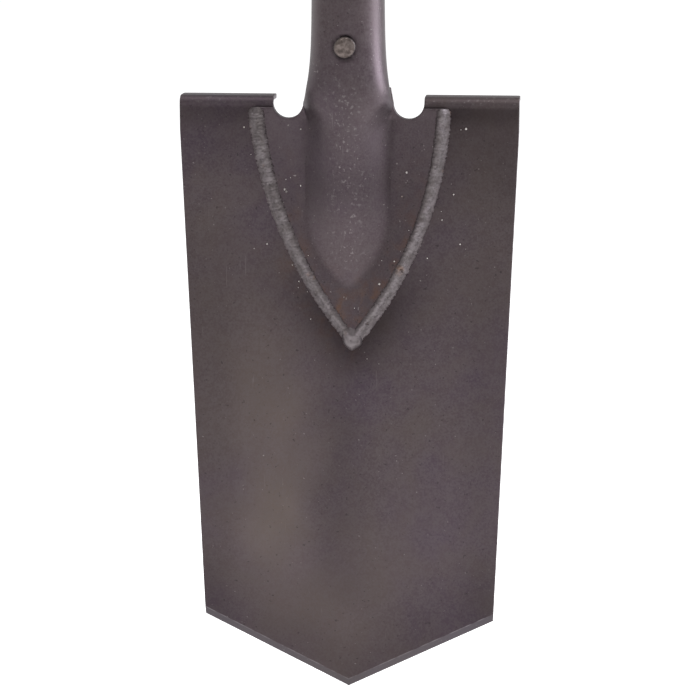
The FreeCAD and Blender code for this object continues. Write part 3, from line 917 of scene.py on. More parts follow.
@dataclass(frozen=True)
class RivetSteel:
    """Hammered bare steel with dirt around the head."""

    name: str
    steel: Colour = (0.160, 0.130, 0.120)
    dirty: Colour = (0.072, 0.055, 0.050)
    grime: Colour = (0.05, 0.042, 0.042)
    bright: Colour = (0.45, 0.42, 0.40)

    def build(self, effects: Effects) -> bpy.types.Material:
        """Mix warm grey steel with brown dirt and dark grime at the rim.

        Args:
            effects: the shared effects.

        Returns:
            The material.
        """
        s = Surface(self.name, effects)
        t = s.tree
        blotch = s.patches(330.0, 0.38, 0.66, 5.0, 0.3)
        colour = blend_colour(t, blotch, self.steel, self.dirty)
        colour = blend_colour(t, mask(t, "rim"), colour, self.grime)
        scratch = s.effect(effects.scuffs, "Scratch", Scale=120.0, Amount=0.6)
        s.feed("Base Color", blend_colour(t, scratch, colour, self.bright))
        s.feed("Metallic", 0.85)
        s.feed("Roughness", math_node(t, "MULTIPLY_ADD", blotch, 0.18, 0.38))
        s.bump((s.effect(effects.grain, "Height", Scale=700.0), 0.04))
        return s.material


@dataclass(frozen=True)
class PowderCoat:
    """Black powder coat with its orange-peel skin."""

    name: str
    colour: Colour = (0.011, 0.011, 0.012)
    dusty: Colour = (0.040, 0.037, 0.035)
    scuffed: Colour = (0.16, 0.155, 0.15)

    def build(self, effects: Effects) -> bpy.types.Material:
        """Give the paint dust, handling scuffs and an uneven skin.

        Args:
            effects: the shared effects.

        Returns:
            The material.
        """
        s = Surface(self.name, effects)
        t = s.tree
        dust = s.patches(30.0, 0.42, 0.75, 6.0, 0.5)
        scratch = s.effect(effects.scuffs, "Scratch", Scale=60.0, Amount=0.4)
        colour = s.over(self.colour, dust, 0.30, self.dusty)
        s.feed("Base Color", blend_colour(t, scratch, colour, self.scuffed))
        s.feed("Roughness", math_node(t, "MULTIPLY_ADD", dust, 0.15, 0.42))
        s.feed("Coat Weight", 0.10)
        s.feed("Specular IOR Level", 0.35)
        s.feed("Coat Roughness", 0.3)
        s.bump((cloud(t, s.place, 650.0, 2.0), 0.06))
        return s.material


@dataclass(frozen=True)
class MouldedBlack:
    """Matte black rubber or plastic."""

    name: str
    colour: Colour
    roughness: float
    grain_scale: float
    dusty: Colour = (0.030, 0.029, 0.028)
    rubbed: Colour = (0.028, 0.027, 0.027)

    def build(self, effects: Effects) -> bpy.types.Material:
        """Add mould grain, a film of dust and rubbed patches.

        Args:
            effects: the shared effects.

        Returns:
            The material.
        """
        s = Surface(self.name, effects)
        t = s.tree
        speckle = s.effect(effects.grain, "Speckle", Scale=self.grain_scale)
        rubbed = s.patches(38.0, 0.4, 0.7)
        colour = s.over(self.colour, speckle, 0.4, self.dusty)
        s.feed("Base Color", s.over(colour, rubbed, 0.3, self.rubbed))
        s.feed("Roughness", math_node(t, "MULTIPLY_ADD", rubbed, -0.12, self.roughness))
        s.feed("Specular IOR Level", 0.3)
        s.bump((s.effect(effects.grain, "Height", Scale=self.grain_scale), 0.09))
        return s.material


@dataclass
class Finishes:
    """Every material of the tool, ready made."""

    effects: Effects = field(default_factory=Effects)
    blade: bpy.types.Material = field(init=False)
    socket: bpy.types.Material = field(init=False)
    weld: bpy.types.Material = field(init=False)
    spatter: bpy.types.Material = field(init=False)
    rivet: bpy.types.Material = field(init=False)
    paint: bpy.types.Material = field(init=False)
    rubber: bpy.types.Material = field(init=False)
    plastic: bpy.types.Material = field(init=False)

    def __post_init__(self) -> None:
        """Build each finish once."""
        fx = self.effects
        self.blade = OxideSteel(
            "blade_oxide", (0.0575, 0.0405, 0.0535), (0.0625, 0.0465, 0.0485), (0.099, 0.0765, 0.069)
        ).build(fx)
        self.socket = OxideSteel(
            "socket_oxide", (0.062, 0.0445, 0.0555), (0.060, 0.0435, 0.0475), (0.086, 0.0665, 0.069),
            roughness=0.40, wear=0.12
        ).build(fx)
        self.weld = WeldMetal("weld_grey", (0.130, 0.110, 0.116), (0.104, 0.084, 0.088)).build(fx)
        self.spatter = WeldMetal("spatter_bright", (0.75, 0.70, 0.66), (0.5, 0.45, 0.42)).build(fx)
        self.rivet = RivetSteel("rivet_hammered").build(fx)
        self.paint = PowderCoat("shaft_powder_coat").build(fx)
        self.rubber = MouldedBlack("grip_rubber_black", (0.010, 0.010, 0.0105), 0.78, 1500.0).build(fx)
        self.plastic = MouldedBlack("plug_plastic_black", (0.013, 0.013, 0.014), 0.5, 2100.0).build(fx)


# ------------------------------------------------------------ sub-assemblies


@dataclass
class Blade:
    """The flat blade with its folded treads, notches and ground point."""

    half: float = 75.0
    top: float = 271.3
    corner: Point = (66.1, 32.9)
    side_break: float = 256.5
    bend_radius: float = 4.0
    tread_back: float = 11.5
    tread_corner: float = 1.2
    notch: Point = (26.6, 268.5)
    notch_radius: float = 6.7
    neck: Point = (18.6, 275.4)
    bevel: float = 3.2
    bevel_depth: float = 1.15
    wave: float = 0.10

    @property
    def bend_start(self) -> float:
        """Height where the tread's fold begins."""
        return self.top - self.bend_radius

    @property
    def flat_top(self) -> float:
        """Flat-pattern height of the tread's rear edge."""
        flat = self.tread_back - BLADE_FACE - self.bend_radius
        return self.bend_start + self.bend_radius * math.pi / 2 + flat

    def outline(self) -> list[Point]:
        """Draw the flat pattern, anticlockwise from the tip.

        Returns:
            Its corners, no further than a step apart.
        """
        nx, nz = self.notch
        r, c, top = self.notch_radius, self.tread_corner, self.flat_top
        right: list[Point] = [(0.0, 0.0), self.corner, (self.half, self.side_break)]
        right += [(self.half, self.bend_start), (self.half, top - c)]
        cut = 0.29 * c
        right += arc_points((self.half, top - c), (self.half - cut, top - cut),
                            (self.half - c, top), 5)[1:]
        right += [(nx + r, top), (nx + r, nz)]
        turns = [math.pi * i / 16 for i in range(1, 16)]
        right += [(nx + r * math.cos(a), nz - r * math.sin(a)) for a in turns]
        right += [(nx - r, nz), self.neck]
        left = [(-x, z) for x, z in reversed(right[1:])]
        return subdivide(right + left, OUTLINE_STEP)

    def to_point(self, flat: np.ndarray) -> np.ndarray:
        """Measure how far flat positions are from the two ground edges.

        Args:
            flat: positions in mm.

        Returns:
            The distances in mm.
        """
        x, z = np.abs(flat[:, 0]), flat[:, 1]
        run, rise = self.corner
        return (z * run - x * rise) / math.hypot(run, rise)

    def thin(self, flat: np.ndarray) -> np.ndarray:
        """Tell how much metal is ground off the front near the point.

        Args:
            flat: positions in mm.

        Returns:
            The depth in mm at each.
        """
        uneven = 1 + 0.10 * rough(flat, 9.0, 2.0)
        return self.bevel_depth * np.clip(1 - self.to_point(flat) / (self.bevel * uneven), 0, 1)

    def bend(self, flat: np.ndarray) -> np.ndarray:
        """Fold the flat pattern's treads back and add the sheet's slight waves.

        Args:
            flat: positions on the flat pattern in mm.

        Returns:
            Where each ends up, in mm.
        """
        x, v = flat[:, 0], flat[:, 1]
        r, start = self.bend_radius, self.bend_start
        turn = np.clip((v - start) / r, 0, math.pi / 2)
        beyond = np.maximum(v - start - r * math.pi / 2, 0)
        y = BLADE_FACE + r * (1 - np.cos(turn)) + beyond
        z = np.minimum(v, start) + r * np.sin(turn)
        neck = np.abs(x) < self.notch[0]
        y, z = np.where(neck, BLADE_FACE, y), np.where(neck, v, z)
        clear = fade(v, 150, 40) + climb(np.abs(x), 48, 15) * fade(v, 255, 30)
        y = y + self.wave * np.clip(clear, 0, 1) * np.sin(x / 23 + 1.3) * np.sin(v / 31 + 0.4)
        return np.stack([x, y, z], axis=1)

    def masks(self, flat: np.ndarray) -> dict[str, np.ndarray]:
        """Tell where the oxide is straw, scorched, burnt, ground or rubbed, and where it is painted darker
        as shade or heat tint.

        Args:
            flat: positions on the flat pattern in mm.

        Returns:
            Each mask by name, from 0 to 1 at each position.
        """
        x, z = flat[:, 0], flat[:, 1]
        reach = np.abs(x)
        sway = x + 9 * rough(flat, 60.0, 4.0) + 6 * rough(flat, 19.0, 14.0)
        streak = hump(sway, -34, 20) * fade(z, 205, 80) * climb(z, 8, 40)
        streak += 0.55 * hump(sway, -4, 18) * fade(z, 90, 50)
        streak = streak * (0.85 + 0.45 * rough(flat, 33.0, 12.0))
        near = SOCKET.to_weld(flat)
        heat = hump(near, 0, 15) * (0.35 + 0.65 * fade(z, 225, 45))
        soot = 0.85 * hump(near, 0, 15) * fade(z, 208, 40) + 0.12 * hump(near, 0, 8)
        burnt = hump(near, 0, 10) * fade(x, 12, 14) * fade(z, 214, 24)
        face = fade(z, self.bend_start + 1, 2.5)
        # Painted shade: darker towards the top of the face, in a band just under the treads and on the
        # right of the top. It is also darker in a streak just left of the middle, low down, and towards
        # the side edges. The soot near the welds and the darkening towards the ground edges are heat tint.
        dusk = 0.22 * climb(z, 60, 190) + 0.30 * climb(z, 215, 50)
        dusk = dusk * (0.85 + 0.25 * rough(flat, 30.0, 9.0)) * face
        dusk += 0.30 * climb(z, 255, 9) * face
        dusk += 0.32 * hump(sway, -4, 13) * fade(z, 165, 50) * climb(z, 22, 25)
        dusk += 0.15 * climb(reach, 45, 15) * fade(z, 215, 40)
        dusk += 0.14 * np.tanh(x / 40) * climb(z, 205, 30) * face
        dusk += soot + 0.45 * fade(self.to_point(flat), 42, 38)
        return {
            "straw": np.clip(0.95 * streak, 0, 1),
            "heat": np.clip(heat, 0, 1),
            "burnt": np.clip(0.55 * burnt, 0, 1),
            "dusk": np.clip(dusk, 0, 1),
            "brink": np.clip(1 - self.to_point(flat) / 10, 0, 1),
            "rubbed": 0.55 * climb(z, self.bend_start, 2.0),
        }

    def build(self, finishes: Finishes) -> None:
        """Make the blade and put it in place of its CAD node.

        Args:
            finishes: every material of the tool.
        """
        run, rise = self.corner
        slope = math.hypot(run, rise)
        across = np.linspace(-run + 1.2, run - 1.2, 101)
        lines = []
        for reach in (self.bevel - 0.3, self.bevel, self.bevel + 0.3):
            drop = reach * slope / run
            lines.append([(x, abs(x) * rise / run + drop) for x in across])
        ends = np.linspace(self.notch[0] + self.notch_radius + 0.8, self.half - 0.8, 26)
        for v in np.arange(self.bend_start, self.flat_top - 1.5, 0.72):
            lines += [[(x * sign, v) for x in ends] for sign in (-1, 1)]
        form = SheetForm(
            "blade_plate", self.outline(), self.bend, BLADE_SHEET, (1.6, 1.6), 0.4, lines, self.thin
        )
        form.make(self.masks).place(Finish.BLADE, finishes.blade, "blade")


@dataclass
class Socket:
    """The rolled tube, ridge, nose and pointed tongue in one sheet."""

    ridge_low: float = 222.0
    nose: float = 186.5
    ridge_rise: float = 9.0
    tube_radius: float = 15.85
    full_rise: float = 15.0
    full_from: float = 280.0
    flare: float = 2.45
    firm_from: float = 256.0
    tube_low: float = 276.0
    mouth: Point = (278.0, 289.5)
    seam_gap: float = 0.02
    waist: tuple[Point, ...] = (
        (262.0, 18.9), (268.5, 19.9), (270.4, 19.35), (272.6, 18.9), (276.0, 18.3)
    )
    top: float = 352.0
    tongue_top: float = 266.5
    shoulder: float = 262.0
    left_edge: Bow = ((-41.0, 266.5), (-27.9, 212.0), (2.0, 162.0))
    right_edge: Bow = ((42.0, 266.5), (31.4, 212.0), (2.0, 162.0))
    rivet_z: float = 294.1
    seat_radius: float = 5.3
    seat_depth: float = 0.6

    def outline(self) -> list[Point]:
        """Draw the sheet's outline, anticlockwise from the tongue's tip.

        Returns:
            Its corners, no further than a step apart.
        """
        nx, nz = BLADE.notch
        r = BLADE.notch_radius
        edge = self.waist[-1][1]
        steps = 70
        right = arc_points(*reversed(self.right_edge), steps)
        first = math.asin((nz - self.tongue_top) / r)
        right += [(nx + r * math.cos(first), self.tongue_top)]
        bowl = np.linspace(first, math.pi, 18)
        right += [(nx + r * math.cos(a), nz - r * math.sin(a)) for a in bowl[1:]]
        right += [(half, z) for z, half in self.waist[2:]] + [(edge, self.top)]
        left = [(-x, z) for x, z in reversed(right[steps:])]
        left += arc_points(*self.left_edge, steps)[:-1]
        return subdivide(right + left, OUTLINE_STEP)

    def to_weld(self, flat: np.ndarray) -> np.ndarray:
        """Measure how far positions on the blade are from the nearer weld line.

        Args:
            flat: positions in mm.

        Returns:
            The distances in mm.
        """
        points = np.array(arc_points(*self.left_edge, 40) + arc_points(*self.right_edge, 40))
        gap = np.full(len(flat), 1e9)
        for point in points:
            gap = np.minimum(gap, np.hypot(*(flat - point).T))
        return gap

    def section(self, z: np.ndarray) -> tuple[np.ndarray, np.ndarray]:
        """Size the ridge over the tongue.

        Args:
            z: heights in mm.

        Returns:
            Its half width and its rise at each height.
        """
        share = smooth((z - self.ridge_low) / (self.full_from - self.ridge_low))
        rise = self.ridge_rise + (self.full_rise - self.ridge_rise) * share
        close = np.clip((z - self.nose) / (self.ridge_low - self.nose), 0, 1)
        swell = smooth((z - self.nose + 3) / (self.ridge_low - self.nose + 10))
        heights, halves = zip(*self.waist)
        return np.interp(z, heights, halves) * (1 - (1 - close) ** 2) ** 0.75, rise * swell

    def bend(self, flat: np.ndarray) -> np.ndarray:
        """Raise the ridge, roll the tube round to its seam and flatten the rivet's seat.

        Args:
            flat: positions on the flat pattern in mm.

        Returns:
            Where each ends up, in mm.
        """
        across, z = flat[:, 0], flat[:, 1]
        foot, rise = self.section(z)
        share = np.clip(np.abs(across) / np.maximum(foot, 1e-6), 0, 1)
        above = np.maximum(z - self.tube_low, 0)
        wide = np.where(above > 0, self.tube_radius + self.flare * np.exp(-above / 12), foot)
        low, high = self.mouth
        shut = np.clip((z - low) / (high - low), 0, 1)
        turn = share * (math.pi / 2 + (math.pi / 2 - self.seam_gap) * shut)
        rolled = smooth(above / (high - self.tube_low))
        centre = TONGUE_FACE + (SHAFT_AXIS - TONGUE_FACE) * rolled
        deep = rise + (self.tube_radius - rise) * rolled
        dome = (1 - share**2.1) ** 1.5
        firm = smooth((z - self.firm_from) / (self.tube_low - self.firm_from))
        x = wide * np.sin(turn) * firm + share * foot * (1 - firm)
        y = (centre - deep * np.cos(turn)) * firm + (TONGUE_FACE - rise * dome) * (1 - firm)
        flange = np.abs(across) > foot
        x = np.where(flange, across, np.sign(across) * x)
        y = np.where(flange, TONGUE_FACE, y)
        gap = np.hypot(x, z - self.rivet_z)
        floor = SHAFT_AXIS - self.tube_radius + self.seat_depth
        seat = smooth((self.seat_radius + 0.5 - gap) / 0.9) * (y < SHAFT_AXIS)
        y = y + (np.maximum(y, floor) - y) * seat
        return np.stack([x, y, z], axis=1)

    def masks(self, flat: np.ndarray) -> dict[str, np.ndarray]:
        """Tell where the oxide is scorched, burnt or rubbed, and where shade is painted on it.

        Args:
            flat: positions on the flat pattern in mm.

        Returns:
            Each mask by name, from 0 to 1 at each position.
        """
        across, z = flat[:, 0], flat[:, 1]
        reach = np.abs(across)
        foot, _ = self.section(z)
        below = z < self.shoulder
        near = self.to_weld(flat)
        wings = climb(reach, foot, 4) * fade(z, self.shoulder, 40)
        heat = 0.8 * wings + 0.25 * smooth((reach - foot + 5) / 8) * (z < 264)
        burnt = 0.55 * hump(near, 0, 7) * fade(z, 250, 60)
        burnt += 0.3 * wings * (0.6 + 0.4 * rough(flat, 14.0, 1.0))
        burnt += 0.5 * hump(z, 179, 11) * (reach < 18)
        gap = np.hypot(self.bend(flat)[:, 0], z - self.rivet_z)
        # Painted shadow: a dark ring round the rivet's head.
        ring = hump(gap, 5.0, 0.8) * (reach < 9)
        # Painted shade in the crease along the ridge's foot, below the shoulder.
        corner = 0.35 * hump(reach, foot, 2.2) * below
        crest = hump(across, 0, 7.5) * climb(z, 192, 8) * fade(z, 300, 40)
        dings = 0.9 * hump(across, -9.5, 2.4) * hump(z, 305.5, 3)
        dings += 0.9 * hump(across, -8, 2.6) * hump(z, 284, 4.5)
        # Painted shade: it dims the highlight where the tube flares and the right of the ridge below the
        # shoulder, and darkens the wings and the ridge's middle.
        shade = 0.75 * hump(z, 284, 13) * climb(across, 13, 8)
        shade += 0.15 * climb(across, 2, 8) * below
        shade += 0.30 * wings + 0.28 * hump(z, 234, 12) * (reach < foot)
        return {
            "rubbed": np.clip(0.75 * crest + dings, 0, 1),
            "heat": np.clip(heat, 0, 1),
            "burnt": np.clip(burnt, 0, 1),
            "dusk": np.clip(0.95 * ring + corner + shade, 0, 1),
        }

    def build(self, finishes: Finishes) -> None:
        """Make the socket and put it in place of its CAD node.

        Args:
            finishes: every material of the tool.
        """
        form = SheetForm("socket_sheet", self.outline(), self.bend, SOCKET_SHEET, (0.55, 1.3))
        form.make(self.masks).place(Finish.SOCKET, finishes.socket, "socket")


BLADE = Blade()
SOCKET = Socket()


@dataclass
class Welds:
    """Every run of weld metal, with the spatter around the long ones."""

    left_half: Triple = (3.8, 3.45, 2.8)
    right_half: Triple = (3.3, 3.0, 3.05)
    bead_height: float = 1.55
    tip_place: Point = (1.55, 163.8)
    tip_reach: Point = (4.7, 6.1)
    tip_height: float = 3.3
    droplets: int = 64
    seed: int = 11
    seam_heights: Triple = (310.1, 327.05, 344.0)
    seam_tack_half: float = 5.2
    neck_tack: Point = (13.5, 17.6)
    neck_place: Point = (0.55, 275.6)
    ring_radius: float = 13.45
    bar_radius: float = 15.0

    def edge_run(
        self, name: str, corners: Bow, halves: Triple, way: float, seed: float, pits: tuple[Point, ...]
    ) -> Piece:
        """Lay one long fillet weld from the shoulder to just short of the tip.

        Args:
            name: its name.
            corners: start, middle and end of the tongue's edge.
            halves: half width at those places in mm.
            way: 1 or -1, which side of the edge is the tongue.
            seed: shifts its unevenness.
            pits: places of pits as a share of its length, and their sizes in mm.

        Returns:
            The bead.
        """
        count = 420
        flat = np.array(arc_points(*corners, count))
        path = np.stack([flat[:, 0], np.full(count, BLADE_FACE), flat[:, 1]], axis=1)
        out = np.tile([0.0, -1.0, 0.0], (count, 1))
        side = np.cross(unit(np.gradient(path, axis=0)), out) * way
        share = np.linspace(0, 1, count)
        ends = np.clip(share / 0.02, 0.05, 1), np.clip((1 - share) / 0.02, 0.5, 1)
        taper = np.sqrt(ends[0]) * np.sqrt(ends[1])
        half = np.interp(share, [0, 0.5, 1], halves) * taper**0.5
        height = self.bead_height * taper * np.interp(share, [0, 0.08, 1], [1.15, 1.0, 0.85])
        return Bead(name, path, out, side, half, height, SOCKET_SHEET, seed=seed, pits=pits).make()

    def tip(self) -> Piece:
        """Shape the blob where the two runs meet.

        Returns:
            The closed mesh.
        """
        count, sides = 16, 48
        rows, _ = lathe([(r, 0) for r in np.linspace(0.02, 1, count)], sides)
        rows = rows[:, :2]
        radius = np.hypot(rows[:, 0], rows[:, 1])
        uneven = 1 + 0.30 * rough(rows / np.maximum(radius, 0.05)[:, None], 0.9, 21.0) * radius
        ripple = 0.22 * np.cos(7.5 * np.hypot(rows[:, 0], rows[:, 1] - 1.1)) * (1 - radius)
        lift = self.tip_height * np.clip(1 - radius**2.4, 0, 1) ** 0.6
        lift = lift + 0.4 * rough(rows, 0.35, 5.0) * (1 - radius) + ripple
        x = self.tip_place[0] + rows[:, 0] * self.tip_reach[0] * uneven
        z = self.tip_place[1] + rows[:, 1] * self.tip_reach[1] * uneven
        top = np.stack([x, BLADE_FACE - np.maximum(lift, 0), z], axis=1)
        base = np.stack([x, np.full(len(x), BLADE_FACE + 0.06), z], axis=1)
        skin: list[Face] = []
        total, last = count * sides, count - 1
        for i in range(sides):
            a, b = i * count, ((i + 1) % sides) * count
            for j in range(last):
                skin.append((a + j, b + j, b + j + 1, a + j + 1))
                skin.append((total + a + j, total + a + j + 1, total + b + j + 1, total + b + j))
            skin.append((a + last, b + last, total + b + last, total + a + last))
        skin.append(tuple(i * count for i in range(sides)))
        skin.append(tuple(total + i * count for i in reversed(range(sides))))
        toe = np.concatenate([radius**4, radius**4])
        return Piece("weld_tip_blob", np.concatenate([top, base]), skin, {"rim": toe}, 70.0)

    def spatter(self) -> Piece:
        """Throw droplets beside the long welds and on the tongue.

        Returns:
            All of them as one mesh.
        """
        dice = random.Random(self.seed)
        ball = bmesh.new()
        bmesh.ops.create_icosphere(ball, subdivisions=2, radius=1.0)
        shell = np.array([v.co[:] for v in ball.verts])
        sides = [tuple(v.index for v in f.verts) for f in ball.faces]
        ball.free()
        rows, faces = [], []
        steps, clear = 60, 3.4
        lines = [np.array(arc_points(*c, steps)) for c in (SOCKET.left_edge, SOCKET.right_edge)]
        for i in range(self.droplets):
            line = lines[i % 2]
            spot = line[min(int(steps * dice.random() ** 0.8), steps - 1)]
            throw = dice.gauss(0, 1)
            flat = np.array([[spot[0] + throw * 7.5, spot[1] + dice.gauss(0, 6)]])
            if abs(throw) < 0.42 or flat[0, 1] > SOCKET.shoulder:
                continue
            size = 0.20 + 0.36 * dice.random() ** 2.2
            if SOCKET.to_weld(flat)[0] < clear:
                continue
            sheet = SOCKET if self.on_tongue(flat[0], lines) else BLADE
            faces += [tuple(k + len(rows) * len(shell) for k in f) for f in sides]
            rows.append(shell * size * np.array([1, 0.75, 1]) + sheet.bend(flat)[0])
        points = np.concatenate(rows)
        return Piece("weld_spatter", points, faces, {"rim": np.zeros(len(points))}, 180.0)

    def on_tongue(self, spot: np.ndarray, lines: list[np.ndarray]) -> bool:
        """Tell whether a place lies between the two weld lines.

        Args:
            spot: a flat position in mm.
            lines: points down the left and the right weld line.

        Returns:
            True between them.
        """
        left, right = lines
        if spot[1] < left[-1, 1]:
            return False
        low, high = (np.interp(spot[1], line[::-1, 1], line[::-1, 0]) for line in (left, right))
        return bool(low < spot[0] < high)

    def neck_tacks(self) -> list[Piece]:
        """Lay the two tacks in the tube's mouth.

        Returns:
            Both beads.
        """
        count, pieces = 34, []
        first, last = self.neck_tack
        middle, half = (first + last) / 2, 2.15
        y, z = self.neck_place
        out = np.tile([0.0, 0.8, 0.6], (count, 1))
        side = np.tile([0.0, -0.6, 0.8], (count, 1))
        for name, sign in (("left", -1), ("right", 1)):
            x = np.linspace(first, last, count)
            path = np.stack([sign * x, np.full(count, y), np.full(count, z)], axis=1)
            taper = np.sqrt(np.clip((1 - np.abs(x - middle) / half) * 3, 0.05, 1))
            bead = Bead("weld_neck_tack_" + name, path, out, side, 1.9 * taper, 1.3 * taper,
                        seed=31.0 + sign)
            pieces.append(bead.make())
        return pieces

    def seam_tacks(self) -> list[Piece]:
        """Lay the tacks up the rear seam.

        Returns:
            Every bead, from the bottom.
        """
        count, half, pieces = 34, self.seam_tack_half, []
        back = SHAFT_AXIS + SOCKET.tube_radius
        out = np.tile([0.0, 1.0, 0.0], (count, 1))
        side = np.tile([1.0, 0.0, 0.0], (count, 1))
        for i, z in enumerate(self.seam_heights):
            up = np.linspace(z - half, z + half, count)
            path = np.stack([up * 0, np.full(count, back - 0.35), up], axis=1)
            taper = np.sqrt(np.clip((1 - np.abs(up - z) / (half + 0.1)) * 4, 0.05, 1))
            bead = Bead("weld_seam_tack_%d" % (i + 1), path, out, side, 2.0 * taper, 1.25 * taper,
                        seed=40.0 + i)
            pieces.append(bead.make())
        return pieces

    def saddle(self) -> Piece:
        """Lay the weld round the shaft where it meets the cross-handle.

        Returns:
            The ring.
        """
        radius, bar, high, count = self.ring_radius, self.bar_radius, BAR_HEIGHT, 220
        turn = np.linspace(0, math.tau, count, endpoint=False)
        radial = np.stack([np.cos(turn), np.sin(turn), turn * 0], axis=1)
        y = radius * np.sin(turn)
        drop = np.sqrt(bar**2 - y**2)
        path = np.stack([radius * np.cos(turn), y + SHAFT_AXIS, high - drop], axis=1)
        away = np.stack([turn * 0, y / bar, -drop / bar], axis=1)
        out = unit(radial + away)
        side = np.cross(unit(np.roll(path, -1, axis=0) - np.roll(path, 1, axis=0)), out)
        ones = np.ones(count)
        return Bead("weld_crossbar_ring", path - out * 0.4, out, side, 3.0 * ones, 1.9 * ones,
                    closed=True, seed=55.0).make()

    def build(self, finishes: Finishes) -> None:
        """Lay every run and put it in place of its CAD node.

        Args:
            finishes: every material of the tool.
        """
        left = self.edge_run(
            "weld_bead_left", SOCKET.left_edge, self.left_half, -1.0, 1.0, ((0.30, 0.5),)
        )
        right = self.edge_run(
            "weld_bead_right", SOCKET.right_edge, self.right_half, 1.0, 15.0, ((0.655, 0.8), (0.905, 0.75))
        )
        left.place(Finish.WELD, finishes.weld, "weld_left")
        right.place(Finish.WELD, finishes.weld, "weld_right")
        self.tip().place(Finish.WELD, finishes.weld, "weld_tip")
        self.spatter().place(Finish.WELD, finishes.spatter)
        for node, pieces in (("weld_neck", self.neck_tacks()), ("weld_seam", self.seam_tacks())):
            for i, tack in enumerate(pieces):
                tack.place(Finish.WELD, finishes.weld, *((node,) if i == 0 else ()))
        self.saddle().place(Finish.WELD, finishes.weld, "weld_crossbar")


@dataclass
class Fastening:
    """The rivet with its hammered heads."""

    head: float = 4.62
    shank: float = 3.0
    rise: float = 2.3
    washer: float = 1.4
    dents: Point = (0.42, 0.13)

    def build(self, finishes: Finishes) -> None:
        """Turn the rivet, dent its heads and lay it along the Y axis.

        Args:
            finishes: every material of the tool.
        """
        front = SHAFT_AXIS - SOCKET.tube_radius
        seat, rear = front + SOCKET.seat_depth, SHAFT_AXIS + SOCKET.tube_radius + self.washer
        tail = self.head * 0.95
        crown = front - self.rise
        profile = [(0.01, crown)]
        profile += [(self.head * math.sin(a) ** 0.55, crown + 1.5 * (1 - math.cos(a)))
                    for a in np.linspace(0.08, math.pi / 2, 12)]
        profile += [(self.head, seat - 0.2), (self.head - 0.25, seat), (self.shank, seat)]
        profile += [(self.shank, rear), (self.head * 0.93, rear), (tail, rear + 0.3)]
        profile += [(tail * math.cos(a), rear + 0.3 + 1.8 * math.sin(a))
                    for a in np.linspace(0.2, math.pi / 2 - 0.02, 7)]
        rows, faces = lathe(profile, 56)
        rows = rows[:, [0, 2, 1]]
        turned = rows.copy()
        radius = np.hypot(turned[:, 0], turned[:, 2])
        deep, fine = self.dents
        dents = rough(turned, 1.8, 3.0) * deep + rough(turned, 0.8, 8.0) * fine
        outer = (turned[:, 1] < seat - 0.9) | (turned[:, 1] > rear + 0.9)
        rows[:, 1] += np.where(outer, dents, 0)
        lobes = 1 + 0.03 * np.sin(2 * np.arctan2(turned[:, 2], turned[:, 0]) + 0.6)
        rows[:, 0] *= np.where(radius > self.shank + 0.3, lobes, 1)
        rows[:, 2] += SOCKET.rivet_z
        dirt = np.clip((radius - self.head * 0.9) / (self.head * 0.1), 0, 1)
        piece = Piece("rivet_hammered", rows, faces, {"rim": dirt}, 60.0)
        piece.place(Finish.RIVET, finishes.rivet, "rivet")


